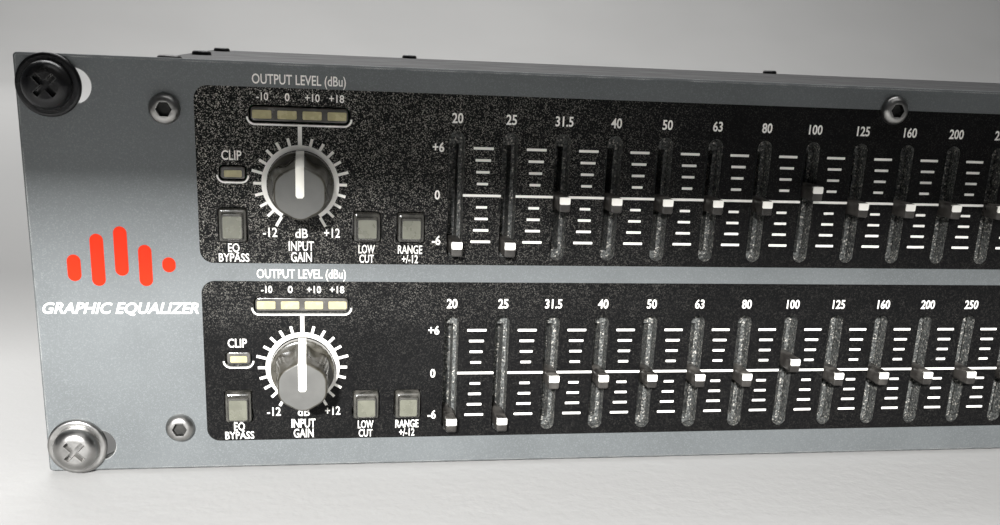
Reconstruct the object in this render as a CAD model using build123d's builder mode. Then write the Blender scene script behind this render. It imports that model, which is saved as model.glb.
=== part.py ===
from build123d import *
from math import cos, radians, sin
import os

# Two-channel, 31-band graphic equalizer for a 19-inch rack, two rack units high.
# Millimetres. +Z is up, +X is to the right seen from the front, and the front panel faces -Y.
# The origin is under the middle of the whole object, on the plane that its chassis stands on.
# "Depth" is measured backwards from the panel's front face, so what stands proud has a negative depth.

# ---- rack panel ----
panel_width = 482.6
panel_height = 88.1
panel_thickness = 3.2
panel_corner = 0.8
panel_edge = 0.4
panel_above_floor = 0.3
ear_width = 21.3
rack_hole_from_side = 8.75
rack_hole_from_edge = 5.95
rack_slot_length = 11.1
rack_slot_width = 7.0

# ---- chassis ----
chassis_depth = 200.0
sheet = 1.5
cover_thickness = 1.2
cover_below_panel = 1.2
rim_width = 10.0
window_side = 15.0
window_bottom = 1.5
window_top = 6.0
chassis_corner = 1.0

# ---- what stands proud at the front and at the back ----
knob_proud = 14.5
rear_proud = 4.2

# ---- layout of the two channels ----
channel_pitch = 40.3
channels_below_middle = 2.15

# ---- faders ----
bands = (
    "20_hz 25_hz 31_5_hz 40_hz 50_hz 63_hz 80_hz 100_hz 125_hz 160_hz 200_hz 250_hz 315_hz 400_hz "
    "500_hz 630_hz 800_hz 1_khz 1_25_khz 1_6_khz 2_khz 2_5_khz 3_15_khz 4_khz 5_khz 6_3_khz 8_khz "
    "10_khz 12_5_khz 16_khz 20_khz"
).split()
band_pitch = 11.6
first_band_x = -153.55
fader_travel = 20.0
slot_width = 3.3
slot_margin_top = 3.5
slot_margin_bottom = 4.0
lever_width = 2.5
lever_height = 3.3
lever_drop = 0.9
lever_proud = 5.1
lever_edge = 0.25
stem_width = 1.2
stem_height = 2.2
stem_reach = 4.6
stem_clearance = 0.4
housing_gap = 1.0
housing_width = 8.5
housing_depth = 6.5
housing_ends = 15.0

# Where each band is set, above the middle of its travel.
settings = {band: 0.0 for band in bands}
settings["20_hz"] = -fader_travel / 2
settings["25_hz"] = -fader_travel / 2
settings["100_hz"] = 3.5

# ---- gain controls ----
knob_x = -186.45
knob_above_zero = 1.66
knob_skirt_radius = 6.9
knob_body_radius = 6.4
knob_face_radius = 5.4
knob_skirt = 2.6
knob_gap = 0.6
flute_count = 6
flute_radius = 9.0
flute_depth = 0.3
shaft_radius = 3.0
shaft_in_knob = 9.0
running_clearance = 0.05
shaft_hole_clearance = 0.6
pot_size = 12.0
pot_wall = 1.0

# ---- push buttons ----
eq_bypass_x = -200.5
low_cut_x = -172.55
range_x = -163.15
button_below_zero = 7.1
button_width = 5.6
button_height = 6.0
bypass_height = 6.7
button_corner = 0.5
button_clearance = 0.35
button_travel = 2.0
button_step = 1.7
button_proud = 3.1
window_inset = 0.8
flange_lip = 0.7
flange_thickness = 0.6
flange_gap = 0.4
stop_gap = 0.3
plunger = 3.0
plunger_in_switch = 1.2
switch_size = 8.0
switch_floor = 0.5

# ---- level and clip lights ----
meter_above_zero = 15.8
meter_width = 20.0
meter_height = 3.0
clip_x = -200.25
clip_above_zero = 3.67
clip_width = 5.1
clip_height = 2.7
light_corner = 0.9
light_clearance = 0.3
light_recess = 0.4

# ---- boards, pillars and cable ----
board_thickness = 1.6
board_margin = 4.0
pillar_radius = 2.0
rear_pillar_radius = 3.0
front_pillar_xs = (-165.0, -60.0, 60.0, 199.5)
rear_board_width = 260.0
rear_board_depth = 78.0
rear_board_behind = 3.0
socket_to_board = 12.5
chip_length = 9.6
chip_width = 6.4
chip_height = 3.4
chip_rows = 2
chip_row_pitch = 19.2
capacitor_radius = 8.0
capacitor_height = 25.0
capacitor_from_header = 51.0
header_length = 34.0
header_width = 8.0
header_height = 7.0
ribbon_width = 28.0
ribbon_thickness = 1.0
ribbon_bend = 10.0

# ---- rear sockets ----
socket_z = 30.0
socket_start_x = -185.0
socket_pitch = 32.0
socket_count = 8
xlr_flange_width = 26.0
xlr_flange_height = 31.0
socket_flange = 2.0
flange_corner = 2.0
xlr_barrel_radius = 11.8
xlr_barrel_depth = 18.0
xlr_cavity_radius = 9.5
xlr_cavity_depth = 14.0
xlr_groove = 1.7
xlr_contact_radius = 1.2
xlr_contact_circle = 4.7
xlr_screw_x = 9.5
xlr_screw_z = 12.0
panel_hole_clearance = 0.4
jack_body = 15.0
jack_body_depth = 22.0
jack_bore_radius = 3.3
jack_bore_depth = 24.0
bushing_radius = 4.7
nut_size = 7.2
nut_thickness = 2.2
nut_clearance = 0.1

# ---- mains inlet and power switch ----
inlet_x = 182.0
inlet_flange_width = 50.0
inlet_flange_height = 25.0
inlet_screw_spacing = 40.0
inlet_width = 27.5
inlet_height = 20.5
inlet_depth = 24.0
inlet_wall = 1.6
inlet_cavity_depth = 17.0
blade_width = 2.0
blade_height = 4.0
blade_length = 14.0
blade_spread = 7.0
blade_offset = 2.0
switch_x = 132.0
bezel_width = 15.0
bezel_height = 22.0
bezel_thickness = 2.0
rocker_housing_width = 13.0
rocker_housing_height = 20.0
rocker_housing_depth = 18.0
rocker_wall = 0.6
rocker_cavity_depth = 13.0
rocker_clearance = 0.4
rocker_half = 8.2
rocker_tip = 3.4
rocker_dip = 1.6
rocker_keel = 6.5
rocker_tilt = 10.0
rocker_pivot_inside = 1.5

# ---- transformer ----
transformer_x = 150.0
transformer_depth = 95.0
winding_radius = 38.0
winding_bore = 12.0
winding_height = 34.0
winding_round = 8.0
pad_thickness = 1.5
clamp_radius = 24.0
clamp_thickness = 1.6
clamp_bolt_radius = 3.0
clamp_head_radius = 5.5
clamp_head = 4.0

# ---- fasteners ----
rack_screw_left = 2.4
rack_thread_radius = 2.4
rack_neck_radius = 2.2
rack_thread_length = 10.0
rack_head_radius = 4.75
rack_head = 3.0
rack_head_round = 2.2
rack_washer_radius = 6.2
rack_washer = 1.2
rack_washer_bore = 2.6
recess_width = 1.1
recess_length = 5.2
recess_depth = 1.8
m3_radius = 1.5
m3_clearance = 0.15
small_head_radius = 2.75
small_head = 1.2
small_head_round = 0.8
small_recess_width = 0.7
small_recess_length = 3.2
small_recess_depth = 0.6
small_screw_length = 5.0
panel_head_radius = 3.1
panel_head = 2.0
panel_head_round = 1.4
panel_socket = 1.6
panel_socket_depth = 1.3
panel_screw_length = 6.0
corner_screw_from_side = 6.8
corner_screw_from_edge = 9.85
top_screw_x = 54.2
top_screw_from_edge = 4.95
cover_screw_shares = (0.12, 0.5, 0.88)
rear_screw_share = 1 / 3

# ---- vents in the cover ----
vent_length = 22.0
vent_width = 3.0
vent_pitch = 6.0
vent_columns = 12
vent_rows = 2
vent_row_pitch = 30.0

# ---- places worked out from the sizes above ----
middle_z = panel_above_floor + panel_height / 2
chassis_width = panel_width - 2 * ear_width
rack_spacing_x = panel_width - 2 * rack_hole_from_side
rack_spacing_z = panel_height - 2 * rack_hole_from_edge
corner_screw_x = chassis_width / 2 - corner_screw_from_side
corner_screw_z = panel_height / 2 - corner_screw_from_edge
front_y = (knob_proud - chassis_depth - rear_proud) / 2
zero_lines = [middle_z - channels_below_middle + side * channel_pitch / 2 for side in (1, -1)]
housing_length = fader_travel + housing_ends
slot_length = fader_travel + slot_margin_top + slot_margin_bottom
slot_centre = (slot_margin_top - slot_margin_bottom) / 2
housing_front = panel_thickness + housing_gap
board_front = housing_front + housing_depth
board_back = board_front + board_thickness
band_xs = [first_band_x + band_pitch * number for number in range(len(bands))]
tray_top = panel_above_floor + panel_height - cover_below_panel - cover_thickness
cover_top = tray_top + cover_thickness
wall_inside = chassis_depth - sheet
inner_half = chassis_width / 2 - sheet
window_half = chassis_width / 2 - window_side
front_pillar_z = sum(zero_lines) / 2 + slot_centre
rear_board_top = socket_z - socket_to_board
rear_board_bottom = rear_board_top - board_thickness
rear_board_x = socket_start_x + socket_pitch * (socket_count - 1) / 2
rear_board_centre = wall_inside - rear_board_behind - rear_board_depth / 2
rack_screw_xs = [side * rack_spacing_x / 2 - rack_screw_left for side in (-1, 1)]
rack_screw_zs = [middle_z + side * rack_spacing_z / 2 for side in (-1, 1)]
rack_places = [(x, z) for x in rack_screw_xs for z in rack_screw_zs]
slot_places = [(side * rack_spacing_x / 2, z) for side in (-1, 1) for z in rack_screw_zs]
corner_screws = [
    (side * corner_screw_x, middle_z + up * corner_screw_z) for side in (-1, 1) for up in (-1, 1)
]
top_screws = [
    (side * top_screw_x, middle_z + panel_height / 2 - top_screw_from_edge) for side in (-1, 1)
]
knob_places = [(knob_x, zero + knob_above_zero) for zero in zero_lines]
meter_places = [(knob_x, zero + meter_above_zero) for zero in zero_lines]
clip_places = [(clip_x, zero + clip_above_zero) for zero in zero_lines]
buttons = [
    (f"{name}_button_{channel + 1}", x, zero_lines[channel] - button_below_zero, height)
    for channel in range(2)
    for name, x, height in (
        ("eq_bypass", eq_bypass_x, bypass_height),
        ("low_cut", low_cut_x, button_height),
        ("range", range_x, button_height),
    )
]
socket_xs = [socket_start_x + socket_pitch * number for number in range(socket_count)]
female_xs = socket_xs[0::4]
male_xs = socket_xs[2::4]
jack_xs = socket_xs[1::2]
xlr_screws = [
    (x + side * xlr_screw_x, socket_z - side * xlr_screw_z)
    for x in female_xs + male_xs
    for side in (-1, 1)
]
inlet_screws = [(inlet_x + side * inlet_screw_spacing / 2, socket_z) for side in (-1, 1)]
cover_screw_depths = [
    panel_thickness + (chassis_depth - panel_thickness) * share for share in cover_screw_shares
]
cover_screws = [
    (side * (chassis_width / 2 - rim_width / 2), front_y + depth)
    for side in (-1, 1)
    for depth in cover_screw_depths
]
cover_screws += [
    (side * chassis_width * rear_screw_share, front_y + chassis_depth - rim_width / 2)
    for side in (-1, 0, 1)
]


def across(depth):
    """The plane parallel to the panel at this depth; it faces forwards, with X to the right and Z up."""
    return Plane.XZ.offset(-(front_y + depth))


def level(height):
    """The horizontal plane at this height."""
    return Plane.XY.offset(height)


os.makedirs("parts", exist_ok=True)

# ---- front panel: a plate with rack slots, fader slots and holes for every control ----
with BuildPart() as front_panel:
    with BuildSketch(across(0)):
        with Locations((0, middle_z)):
            RectangleRounded(panel_width, panel_height, panel_corner)
        with Locations(*slot_places):
            SlotOverall(rack_slot_length, rack_slot_width, mode=Mode.SUBTRACT)
        with Locations(*[(x, zero + slot_centre) for zero in zero_lines for x in band_xs]):
            SlotOverall(slot_length, slot_width, rotation=90, mode=Mode.SUBTRACT)
        with Locations(*knob_places):
            Circle(shaft_radius + shaft_hole_clearance, mode=Mode.SUBTRACT)
        for name, x, z, height in buttons:
            with Locations((x, z)):
                RectangleRounded(
                    button_width + 2 * button_clearance,
                    height + 2 * button_clearance,
                    button_corner + button_clearance,
                    mode=Mode.SUBTRACT,
                )
        with Locations(*meter_places):
            RectangleRounded(
                meter_width + 2 * light_clearance,
                meter_height + 2 * light_clearance,
                light_corner + light_clearance,
                mode=Mode.SUBTRACT,
            )
        with Locations(*clip_places):
            RectangleRounded(
                clip_width + 2 * light_clearance,
                clip_height + 2 * light_clearance,
                light_corner,
                mode=Mode.SUBTRACT,
            )
        with Locations(*corner_screws, *top_screws):
            Circle(m3_radius + m3_clearance, mode=Mode.SUBTRACT)
    extrude(amount=-panel_thickness)
    front_face = front_panel.faces().sort_by(Axis.Y)[0]
    chamfer(front_face.outer_wire().edges(), panel_edge)
front_panel.part.label = "front_panel"
export_step(front_panel.part, "parts/front_panel.step")

# ---- chassis tray: floor, sides, rear wall, a front wall with a window, and a rim for the cover ----
with BuildPart() as chassis_tray:
    with BuildSketch(level(0)):
        with Locations((0, front_y + (panel_thickness + chassis_depth) / 2)):
            Rectangle(chassis_width, chassis_depth - panel_thickness)
    extrude(amount=tray_top)
    fillet(chassis_tray.edges().filter_by(Axis.Z), chassis_corner)
    with BuildSketch(level(sheet)):
        with Locations((0, front_y + (panel_thickness + chassis_depth) / 2)):
            Rectangle(2 * inner_half, chassis_depth - panel_thickness - 2 * sheet)
    extrude(amount=tray_top - 2 * sheet, mode=Mode.SUBTRACT)
    with BuildSketch(level(tray_top - sheet)):
        with Locations((0, front_y + (panel_thickness + sheet + chassis_depth - rim_width) / 2)):
            Rectangle(
                chassis_width - 2 * rim_width,
                chassis_depth - rim_width - panel_thickness - sheet,
            )
    extrude(amount=sheet, mode=Mode.SUBTRACT)
    with BuildSketch(across(panel_thickness)):
        with Locations((0, sheet + window_bottom)):
            Rectangle(
                2 * window_half,
                tray_top - window_top - sheet - window_bottom,
                align=(Align.CENTER, Align.MIN),
            )
        with Locations(*corner_screws, *top_screws):
            Circle(m3_radius + running_clearance)
    extrude(amount=-sheet, mode=Mode.SUBTRACT)
    with BuildSketch(across(chassis_depth)):
        with Locations(*[(x, socket_z) for x in female_xs + male_xs]):
            Circle(xlr_barrel_radius + panel_hole_clearance)
        with Locations(*[(x, socket_z) for x in jack_xs]):
            Circle(bushing_radius + panel_hole_clearance)
        with Locations(*xlr_screws, *inlet_screws):
            Circle(m3_radius + running_clearance)
        with Locations((inlet_x, socket_z)):
            Rectangle(inlet_width + 2 * panel_hole_clearance, inlet_height + 2 * panel_hole_clearance)
        with Locations((switch_x, socket_z)):
            Rectangle(
                rocker_housing_width + 2 * panel_hole_clearance,
                rocker_housing_height + 2 * panel_hole_clearance,
            )
    extrude(amount=sheet, mode=Mode.SUBTRACT)
    with BuildSketch(level(tray_top)):
        with Locations(*cover_screws):
            Circle(m3_radius + running_clearance)
    extrude(amount=-sheet, mode=Mode.SUBTRACT)
chassis_tray.part.label = "chassis_tray"
export_step(chassis_tray.part, "parts/chassis_tray.step")

# ---- top cover: a flat lid on the tray's rim, with vents over the transformer ----
with BuildPart() as top_cover:
    with BuildSketch(level(tray_top)):
        with Locations((0, front_y + (panel_thickness + chassis_depth) / 2)):
            RectangleRounded(chassis_width, chassis_depth - panel_thickness, chassis_corner)
        with Locations((transformer_x, front_y + transformer_depth)):
            with GridLocations(vent_pitch, vent_row_pitch, vent_columns, vent_rows):
                SlotOverall(vent_length, vent_width, rotation=90, mode=Mode.SUBTRACT)
        with Locations(*cover_screws):
            Circle(m3_radius + m3_clearance, mode=Mode.SUBTRACT)
    extrude(amount=cover_thickness)
top_cover.part.label = "top_cover"
export_step(top_cover.part, "parts/top_cover.step")

# ---- slide potentiometer housings: one box with a long slot for each fader ----
with BuildPart() as fader_housings:
    with BuildSketch(across(board_front)):
        with Locations(*[(x, zero + slot_centre) for zero in zero_lines for x in band_xs]):
            Rectangle(housing_width, housing_length)
    extrude(amount=housing_depth)
    with BuildSketch(across(housing_front)):
        with Locations(*[(x, zero - lever_drop) for zero in zero_lines for x in band_xs]):
            Rectangle(
                stem_width + 2 * stem_clearance,
                fader_travel + stem_height + 2 * stem_clearance,
            )
    extrude(amount=-stem_reach - stem_clearance, mode=Mode.SUBTRACT)
fader_housings.part.label = "fader_housings"
export_step(fader_housings.part, "parts/fader_housings.step")

# ---- faders: for each band the levers of both channels, an upright tab on a thin stem ----
for band, x in zip(bands, band_xs):
    lever_places = [(x, zero + settings[band] - lever_drop) for zero in zero_lines]
    with BuildPart() as fader:
        with BuildSketch(across(-lever_proud)):
            with Locations(*lever_places):
                Rectangle(lever_width, lever_height)
        extrude(amount=-lever_proud - panel_thickness)
        chamfer(fader.faces().filter_by(Axis.Y).group_by(Axis.Y)[0].edges(), lever_edge)
        with BuildSketch(across(panel_thickness)):
            with Locations(*lever_places):
                Rectangle(stem_width, stem_height)
        extrude(amount=-housing_gap - stem_reach)
    fader.part.label = f"fader_{band}"
    export_step(fader.part, f"parts/fader_{band}.step")

# ---- main board behind the controls, with its amplifier chips and a cable header ----
with BuildPart() as main_board:
    with BuildSketch(across(board_front)):
        with Locations((0, tray_top / 2)):
            Rectangle(2 * (inner_half - board_margin), tray_top - 2 * sheet - board_margin)
    extrude(amount=-board_thickness)
    with BuildSketch(across(board_back)):
        for zero in zero_lines:
            for row in range(chip_rows):
                row_z = zero + (row - (chip_rows - 1) / 2) * chip_row_pitch
                with Locations(*[(x, row_z) for x in band_xs[1::2]]):
                    Rectangle(chip_width, chip_length)
    extrude(amount=-chip_height)
    with BuildSketch(across(board_back)):
        with Locations((rear_board_x, front_pillar_z)):
            Rectangle(header_length, header_width)
    extrude(amount=-header_height)
main_board.part.label = "main_board"
export_step(main_board.part, "parts/main_board.step")

# ---- gain potentiometers: a square case whose bore takes the knob's shaft ----
with BuildPart() as gain_pots:
    with BuildSketch(across(board_front)):
        with Locations(*knob_places):
            Rectangle(pot_size, pot_size)
    extrude(amount=housing_depth)
    with BuildSketch(across(housing_front)):
        with Locations(*knob_places):
            Circle(shaft_radius + running_clearance)
    extrude(amount=-housing_depth + pot_wall, mode=Mode.SUBTRACT)
gain_pots.part.label = "gain_pots"
export_step(gain_pots.part, "parts/gain_pots.step")

# ---- gain knobs: a skirt, a tapered body with broad flutes, and the shaft it is pushed on to ----
shaft_back = housing_front + housing_depth - pot_wall - running_clearance
shaft_length = shaft_back + knob_gap + shaft_in_knob - running_clearance
for channel, (x, z) in enumerate(knob_places):
    with BuildPart() as gain_knob:
        with BuildSketch(across(-knob_gap)):
            with Locations((x, z)):
                Circle(knob_skirt_radius)
        extrude(amount=knob_skirt)
        with BuildSketch(across(-knob_gap - knob_skirt)):
            with Locations((x, z)):
                Circle(knob_body_radius)
        with BuildSketch(across(-knob_proud)):
            with Locations((x, z)):
                Circle(knob_face_radius)
        loft()
        with BuildSketch(across(-knob_proud)):
            with Locations((x, z)):
                with PolarLocations(
                    knob_face_radius + flute_radius - flute_depth,
                    flute_count,
                    start_angle=90 + 180 / flute_count,
                ):
                    Circle(flute_radius)
        extrude(amount=-(knob_proud - knob_gap - knob_skirt), mode=Mode.SUBTRACT)
        with BuildSketch(across(-knob_gap)):
            with Locations((x, z)):
                Circle(shaft_radius + running_clearance)
        extrude(amount=shaft_in_knob, mode=Mode.SUBTRACT)
        with BuildSketch(across(shaft_back)):
            with Locations((x, z)):
                Circle(shaft_radius)
        extrude(amount=shaft_length)
    gain_knob.part.label = f"gain_knob_{channel + 1}"
    export_step(gain_knob.part, f"parts/gain_knob_{channel + 1}.step")

# ---- button switches: a case behind each button, with a well for the button's plunger ----
switch_front = panel_thickness + flange_gap + flange_thickness + button_travel + stop_gap
with BuildPart() as button_switches:
    with BuildSketch(across(board_front)):
        with Locations(*[(x, z) for name, x, z, height in buttons]):
            Rectangle(switch_size, switch_size)
    extrude(amount=board_front - switch_front)
    with BuildSketch(across(switch_front)):
        with Locations(*[(x, z) for name, x, z, height in buttons]):
            Rectangle(plunger + 2 * button_clearance, plunger + 2 * button_clearance)
    extrude(amount=-(board_front - switch_front - switch_floor), mode=Mode.SUBTRACT)
button_switches.part.label = "button_switches"
export_step(button_switches.part, "parts/button_switches.step")

# ---- buttons: a stepped square cap, a lip that keeps it behind the panel, and a plunger ----
for name, x, z, height in buttons:
    with BuildPart() as button:
        with BuildSketch(across(panel_thickness + flange_gap)):
            with Locations((x, z)):
                RectangleRounded(button_width, height, button_corner)
        extrude(amount=panel_thickness + flange_gap + button_step)
        with BuildSketch(across(-button_step)):
            with Locations((x, z)):
                RectangleRounded(
                    button_width - 2 * window_inset,
                    height - 2 * window_inset,
                    button_corner,
                )
        extrude(amount=button_proud - button_step)
        chamfer(button.faces().sort_by(Axis.Y)[0].edges(), lever_edge)
        with BuildSketch(across(panel_thickness + flange_gap)):
            with Locations((x, z)):
                Rectangle(button_width + 2 * flange_lip, height + 2 * flange_lip)
        extrude(amount=-flange_thickness)
        with BuildSketch(across(panel_thickness + flange_gap + flange_thickness)):
            with Locations((x, z)):
                Rectangle(plunger, plunger)
        extrude(amount=-button_travel - stop_gap - plunger_in_switch)
    button.part.label = name
    export_step(button.part, f"parts/{name}.step")

# ---- indicator lights: translucent blocks from the board to just inside the panel's front ----
with BuildPart() as indicator_lights:
    with BuildSketch(across(board_front)):
        with Locations(*meter_places):
            RectangleRounded(meter_width, meter_height, light_corner)
        with Locations(*clip_places):
            RectangleRounded(clip_width, clip_height, light_corner - light_clearance)
    extrude(amount=board_front - light_recess)
indicator_lights.part.label = "indicator_lights"
export_step(indicator_lights.part, "parts/indicator_lights.step")

# ---- rear board: carries the sockets' circuits, the supply capacitors and a cable header ----
with BuildPart() as rear_board:
    with BuildSketch(level(rear_board_bottom)):
        with Locations((rear_board_x, front_y + rear_board_centre)):
            Rectangle(rear_board_width, rear_board_depth)
    extrude(amount=board_thickness)
    header_y = front_y + rear_board_centre - rear_board_depth / 2 + header_width
    with BuildSketch(level(rear_board_top)):
        with Locations((rear_board_x, header_y)):
            Rectangle(header_length, header_width)
    extrude(amount=header_height)
    capacitor_xs = [rear_board_x + side * capacitor_from_header for side in (-1, 1)]
    with BuildSketch(level(rear_board_top)):
        with Locations(*[(x, header_y + capacitor_radius) for x in capacitor_xs]):
            Circle(capacitor_radius)
    extrude(amount=capacitor_height)
rear_board.part.label = "rear_board"
export_step(rear_board.part, "parts/rear_board.step")

# ---- ribbon cable: from the main board's header, down to the rear board's header ----
ribbon_start = board_back + header_height
header_depth = header_y - front_y
ribbon_end_z = rear_board_top + header_height
ribbon_plane = Plane.YZ.offset(rear_board_x - ribbon_width / 2)
with BuildPart() as ribbon_cable:
    with BuildSketch(ribbon_plane) as ribbon_outline:
        with BuildLine():
            FilletPolyline(
                (front_y + ribbon_start, front_pillar_z),
                (front_y + ribbon_start + 2 * ribbon_bend, front_pillar_z),
                (front_y + header_depth - 2 * ribbon_bend, ribbon_end_z + 2 * ribbon_bend),
                (front_y + header_depth, ribbon_end_z + 2 * ribbon_bend),
                (front_y + header_depth, ribbon_end_z),
                radius=ribbon_bend,
            )
        trace(line_width=ribbon_thickness)
    extrude(amount=ribbon_width)
ribbon_cable.part.label = "ribbon_cable"
export_step(ribbon_cable.part, "parts/ribbon_cable.step")

# ---- pillars: between the panel and the main board, and under the rear board ----
rear_pillars = [
    (rear_board_x + side * (rear_board_width / 2 - board_margin), front_y + rear_board_centre + back)
    for side in (-1, 1)
    for back in (-rear_board_depth / 2 + board_margin, rear_board_depth / 2 - board_margin)
]
with BuildPart() as board_pillars:
    with BuildSketch(across(board_front)):
        with Locations(*[(x, front_pillar_z) for x in front_pillar_xs]):
            Circle(pillar_radius)
    extrude(amount=board_front - panel_thickness)
    with BuildSketch(level(sheet)):
        with Locations(*rear_pillars):
            RegularPolygon(rear_pillar_radius, 6)
    extrude(amount=rear_board_bottom - sheet)
board_pillars.part.label = "board_pillars"
export_step(board_pillars.part, "parts/board_pillars.step")

# ---- three-pole sockets: two with contact holes for inputs, two with pins for outputs ----
contacts = [
    (-xlr_contact_circle, 0),
    (xlr_contact_circle, 0),
    (0, -xlr_contact_circle),
]
with BuildPart() as xlr_sockets:
    with BuildSketch(across(chassis_depth + socket_flange)):
        with Locations(*[(x, socket_z) for x in female_xs + male_xs]):
            RectangleRounded(xlr_flange_width, xlr_flange_height, flange_corner)
        with Locations(*xlr_screws):
            Circle(m3_radius + m3_clearance, mode=Mode.SUBTRACT)
    extrude(amount=socket_flange)
    with BuildSketch(across(chassis_depth)):
        with Locations(*[(x, socket_z) for x in female_xs + male_xs]):
            Circle(xlr_barrel_radius)
    extrude(amount=xlr_barrel_depth)
    with BuildSketch(across(chassis_depth + socket_flange)):
        with Locations(*[(x, socket_z) for x in male_xs]):
            Circle(xlr_cavity_radius)
            with Locations(*contacts):
                Circle(xlr_contact_radius, mode=Mode.SUBTRACT)
        with Locations(*[(x, socket_z) for x in female_xs]):
            Circle(xlr_cavity_radius)
            Circle(xlr_cavity_radius - xlr_groove, mode=Mode.SUBTRACT)
            with Locations(*contacts):
                Circle(xlr_contact_radius)
    extrude(amount=xlr_cavity_depth, mode=Mode.SUBTRACT)
xlr_sockets.part.label = "xlr_sockets"
export_step(xlr_sockets.part, "parts/xlr_sockets.step")

# ---- jack sockets: a case inside, a threaded bushing through the wall, and a nut outside ----
with BuildPart() as jack_sockets:
    with BuildSketch(across(wall_inside)):
        with Locations(*[(x, socket_z) for x in jack_xs]):
            Rectangle(jack_body, jack_body)
    extrude(amount=jack_body_depth)
    with BuildSketch(across(wall_inside)):
        with Locations(*[(x, socket_z) for x in jack_xs]):
            Circle(bushing_radius)
    extrude(amount=-sheet - rear_proud)
    with BuildSketch(across(chassis_depth + rear_proud)):
        with Locations(*[(x, socket_z) for x in jack_xs]):
            Circle(jack_bore_radius)
    extrude(amount=jack_bore_depth, mode=Mode.SUBTRACT)
    with BuildSketch(across(chassis_depth + nut_thickness)):
        with Locations(*[(x, socket_z) for x in jack_xs]):
            RegularPolygon(nut_size, 6)
            Circle(bushing_radius + nut_clearance, mode=Mode.SUBTRACT)
    extrude(amount=nut_thickness)
jack_sockets.part.label = "jack_sockets"
export_step(jack_sockets.part, "parts/jack_sockets.step")

# ---- mains inlet: a flanged well with two line blades and an earth blade ----
blades = [
    (inlet_x - blade_spread, socket_z - blade_offset),
    (inlet_x + blade_spread, socket_z - blade_offset),
    (inlet_x, socket_z + blade_offset),
]
with BuildPart() as mains_inlet:
    with BuildSketch(across(chassis_depth + socket_flange)):
        with Locations((inlet_x, socket_z)):
            RectangleRounded(inlet_flange_width, inlet_flange_height, flange_corner)
        with Locations(*inlet_screws):
            Circle(m3_radius + m3_clearance, mode=Mode.SUBTRACT)
    extrude(amount=socket_flange)
    with BuildSketch(across(chassis_depth)):
        with Locations((inlet_x, socket_z)):
            Rectangle(inlet_width, inlet_height)
    extrude(amount=inlet_depth)
    with BuildSketch(across(chassis_depth + socket_flange)):
        with Locations((inlet_x, socket_z)):
            RectangleRounded(
                inlet_width - 2 * inlet_wall,
                inlet_height - 2 * inlet_wall,
                flange_corner,
            )
    extrude(amount=inlet_cavity_depth, mode=Mode.SUBTRACT)
    with BuildSketch(across(chassis_depth + socket_flange - inlet_cavity_depth)):
        with Locations(*blades):
            Rectangle(blade_width, blade_height)
    extrude(amount=-blade_length)
mains_inlet.part.label = "mains_inlet"
export_step(mains_inlet.part, "parts/mains_inlet.step")

# ---- power switch: a snap-in frame, and the rocker that tilts in it ----
with BuildPart() as switch_frame:
    with BuildSketch(across(chassis_depth + bezel_thickness)):
        with Locations((switch_x, socket_z)):
            RectangleRounded(bezel_width, bezel_height, chassis_corner)
    extrude(amount=bezel_thickness)
    with BuildSketch(across(chassis_depth)):
        with Locations((switch_x, socket_z)):
            Rectangle(rocker_housing_width, rocker_housing_height)
    extrude(amount=rocker_housing_depth)
    with BuildSketch(across(chassis_depth + bezel_thickness)):
        with Locations((switch_x, socket_z)):
            Rectangle(
                rocker_housing_width - 2 * rocker_wall,
                2 * (rocker_half + rocker_wall + rocker_clearance),
            )
    extrude(amount=rocker_cavity_depth, mode=Mode.SUBTRACT)
switch_frame.part.label = "switch_frame"
export_step(switch_frame.part, "parts/switch_frame.step")

rocker_width = rocker_housing_width - 2 * rocker_wall - 2 * rocker_clearance
rocker_plane = Plane(
    origin=(
        switch_x - rocker_width / 2,
        front_y + chassis_depth - rocker_pivot_inside,
        socket_z,
    ),
    x_dir=(0, cos(radians(rocker_tilt)), sin(radians(rocker_tilt))),
    z_dir=(1, 0, 0),
)
with BuildPart() as power_rocker:
    with BuildSketch(rocker_plane):
        with BuildLine():
            Polyline(
                (0, -rocker_half),
                (rocker_tip, -rocker_half),
                (rocker_dip, 0),
                (rocker_tip, rocker_half),
                (0, rocker_half),
            )
            ThreePointArc((0, rocker_half), (-rocker_keel, 0), (0, -rocker_half))
        make_face()
    extrude(amount=rocker_width)
power_rocker.part.label = "power_rocker"
export_step(power_rocker.part, "parts/power_rocker.step")

# ---- transformer: a ring winding on a rubber pad, held by a dished clamp and one bolt ----
transformer_spot = (transformer_x, front_y + transformer_depth)
winding_bottom = sheet + pad_thickness + running_clearance
clamp_bottom = winding_bottom + winding_height + running_clearance
with BuildPart() as transformer:
    with BuildSketch(level(winding_bottom)):
        with Locations(transformer_spot):
            Circle(winding_radius)
            Circle(winding_bore, mode=Mode.SUBTRACT)
    extrude(amount=winding_height)
    outer_edges = transformer.edges().filter_by(GeomType.CIRCLE).group_by(SortBy.RADIUS)[-1]
    fillet(outer_edges, winding_round)
    with BuildSketch(level(sheet)):
        with Locations(transformer_spot):
            Circle(winding_radius - winding_round)
            Circle(winding_bore, mode=Mode.SUBTRACT)
    extrude(amount=pad_thickness)
    with BuildSketch(level(clamp_bottom)):
        with Locations(transformer_spot):
            Circle(clamp_radius)
            Circle(clamp_bolt_radius + running_clearance, mode=Mode.SUBTRACT)
    extrude(amount=clamp_thickness)
    with BuildSketch(level(sheet)):
        with Locations(transformer_spot):
            Circle(clamp_bolt_radius)
    extrude(amount=clamp_bottom + clamp_thickness + running_clearance - sheet)
    with BuildSketch(level(clamp_bottom + clamp_thickness + running_clearance)):
        with Locations(transformer_spot):
            RegularPolygon(clamp_head_radius, 6)
    extrude(amount=clamp_head)
transformer.part.label = "transformer"
export_step(transformer.part, "parts/transformer.step")

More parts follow.
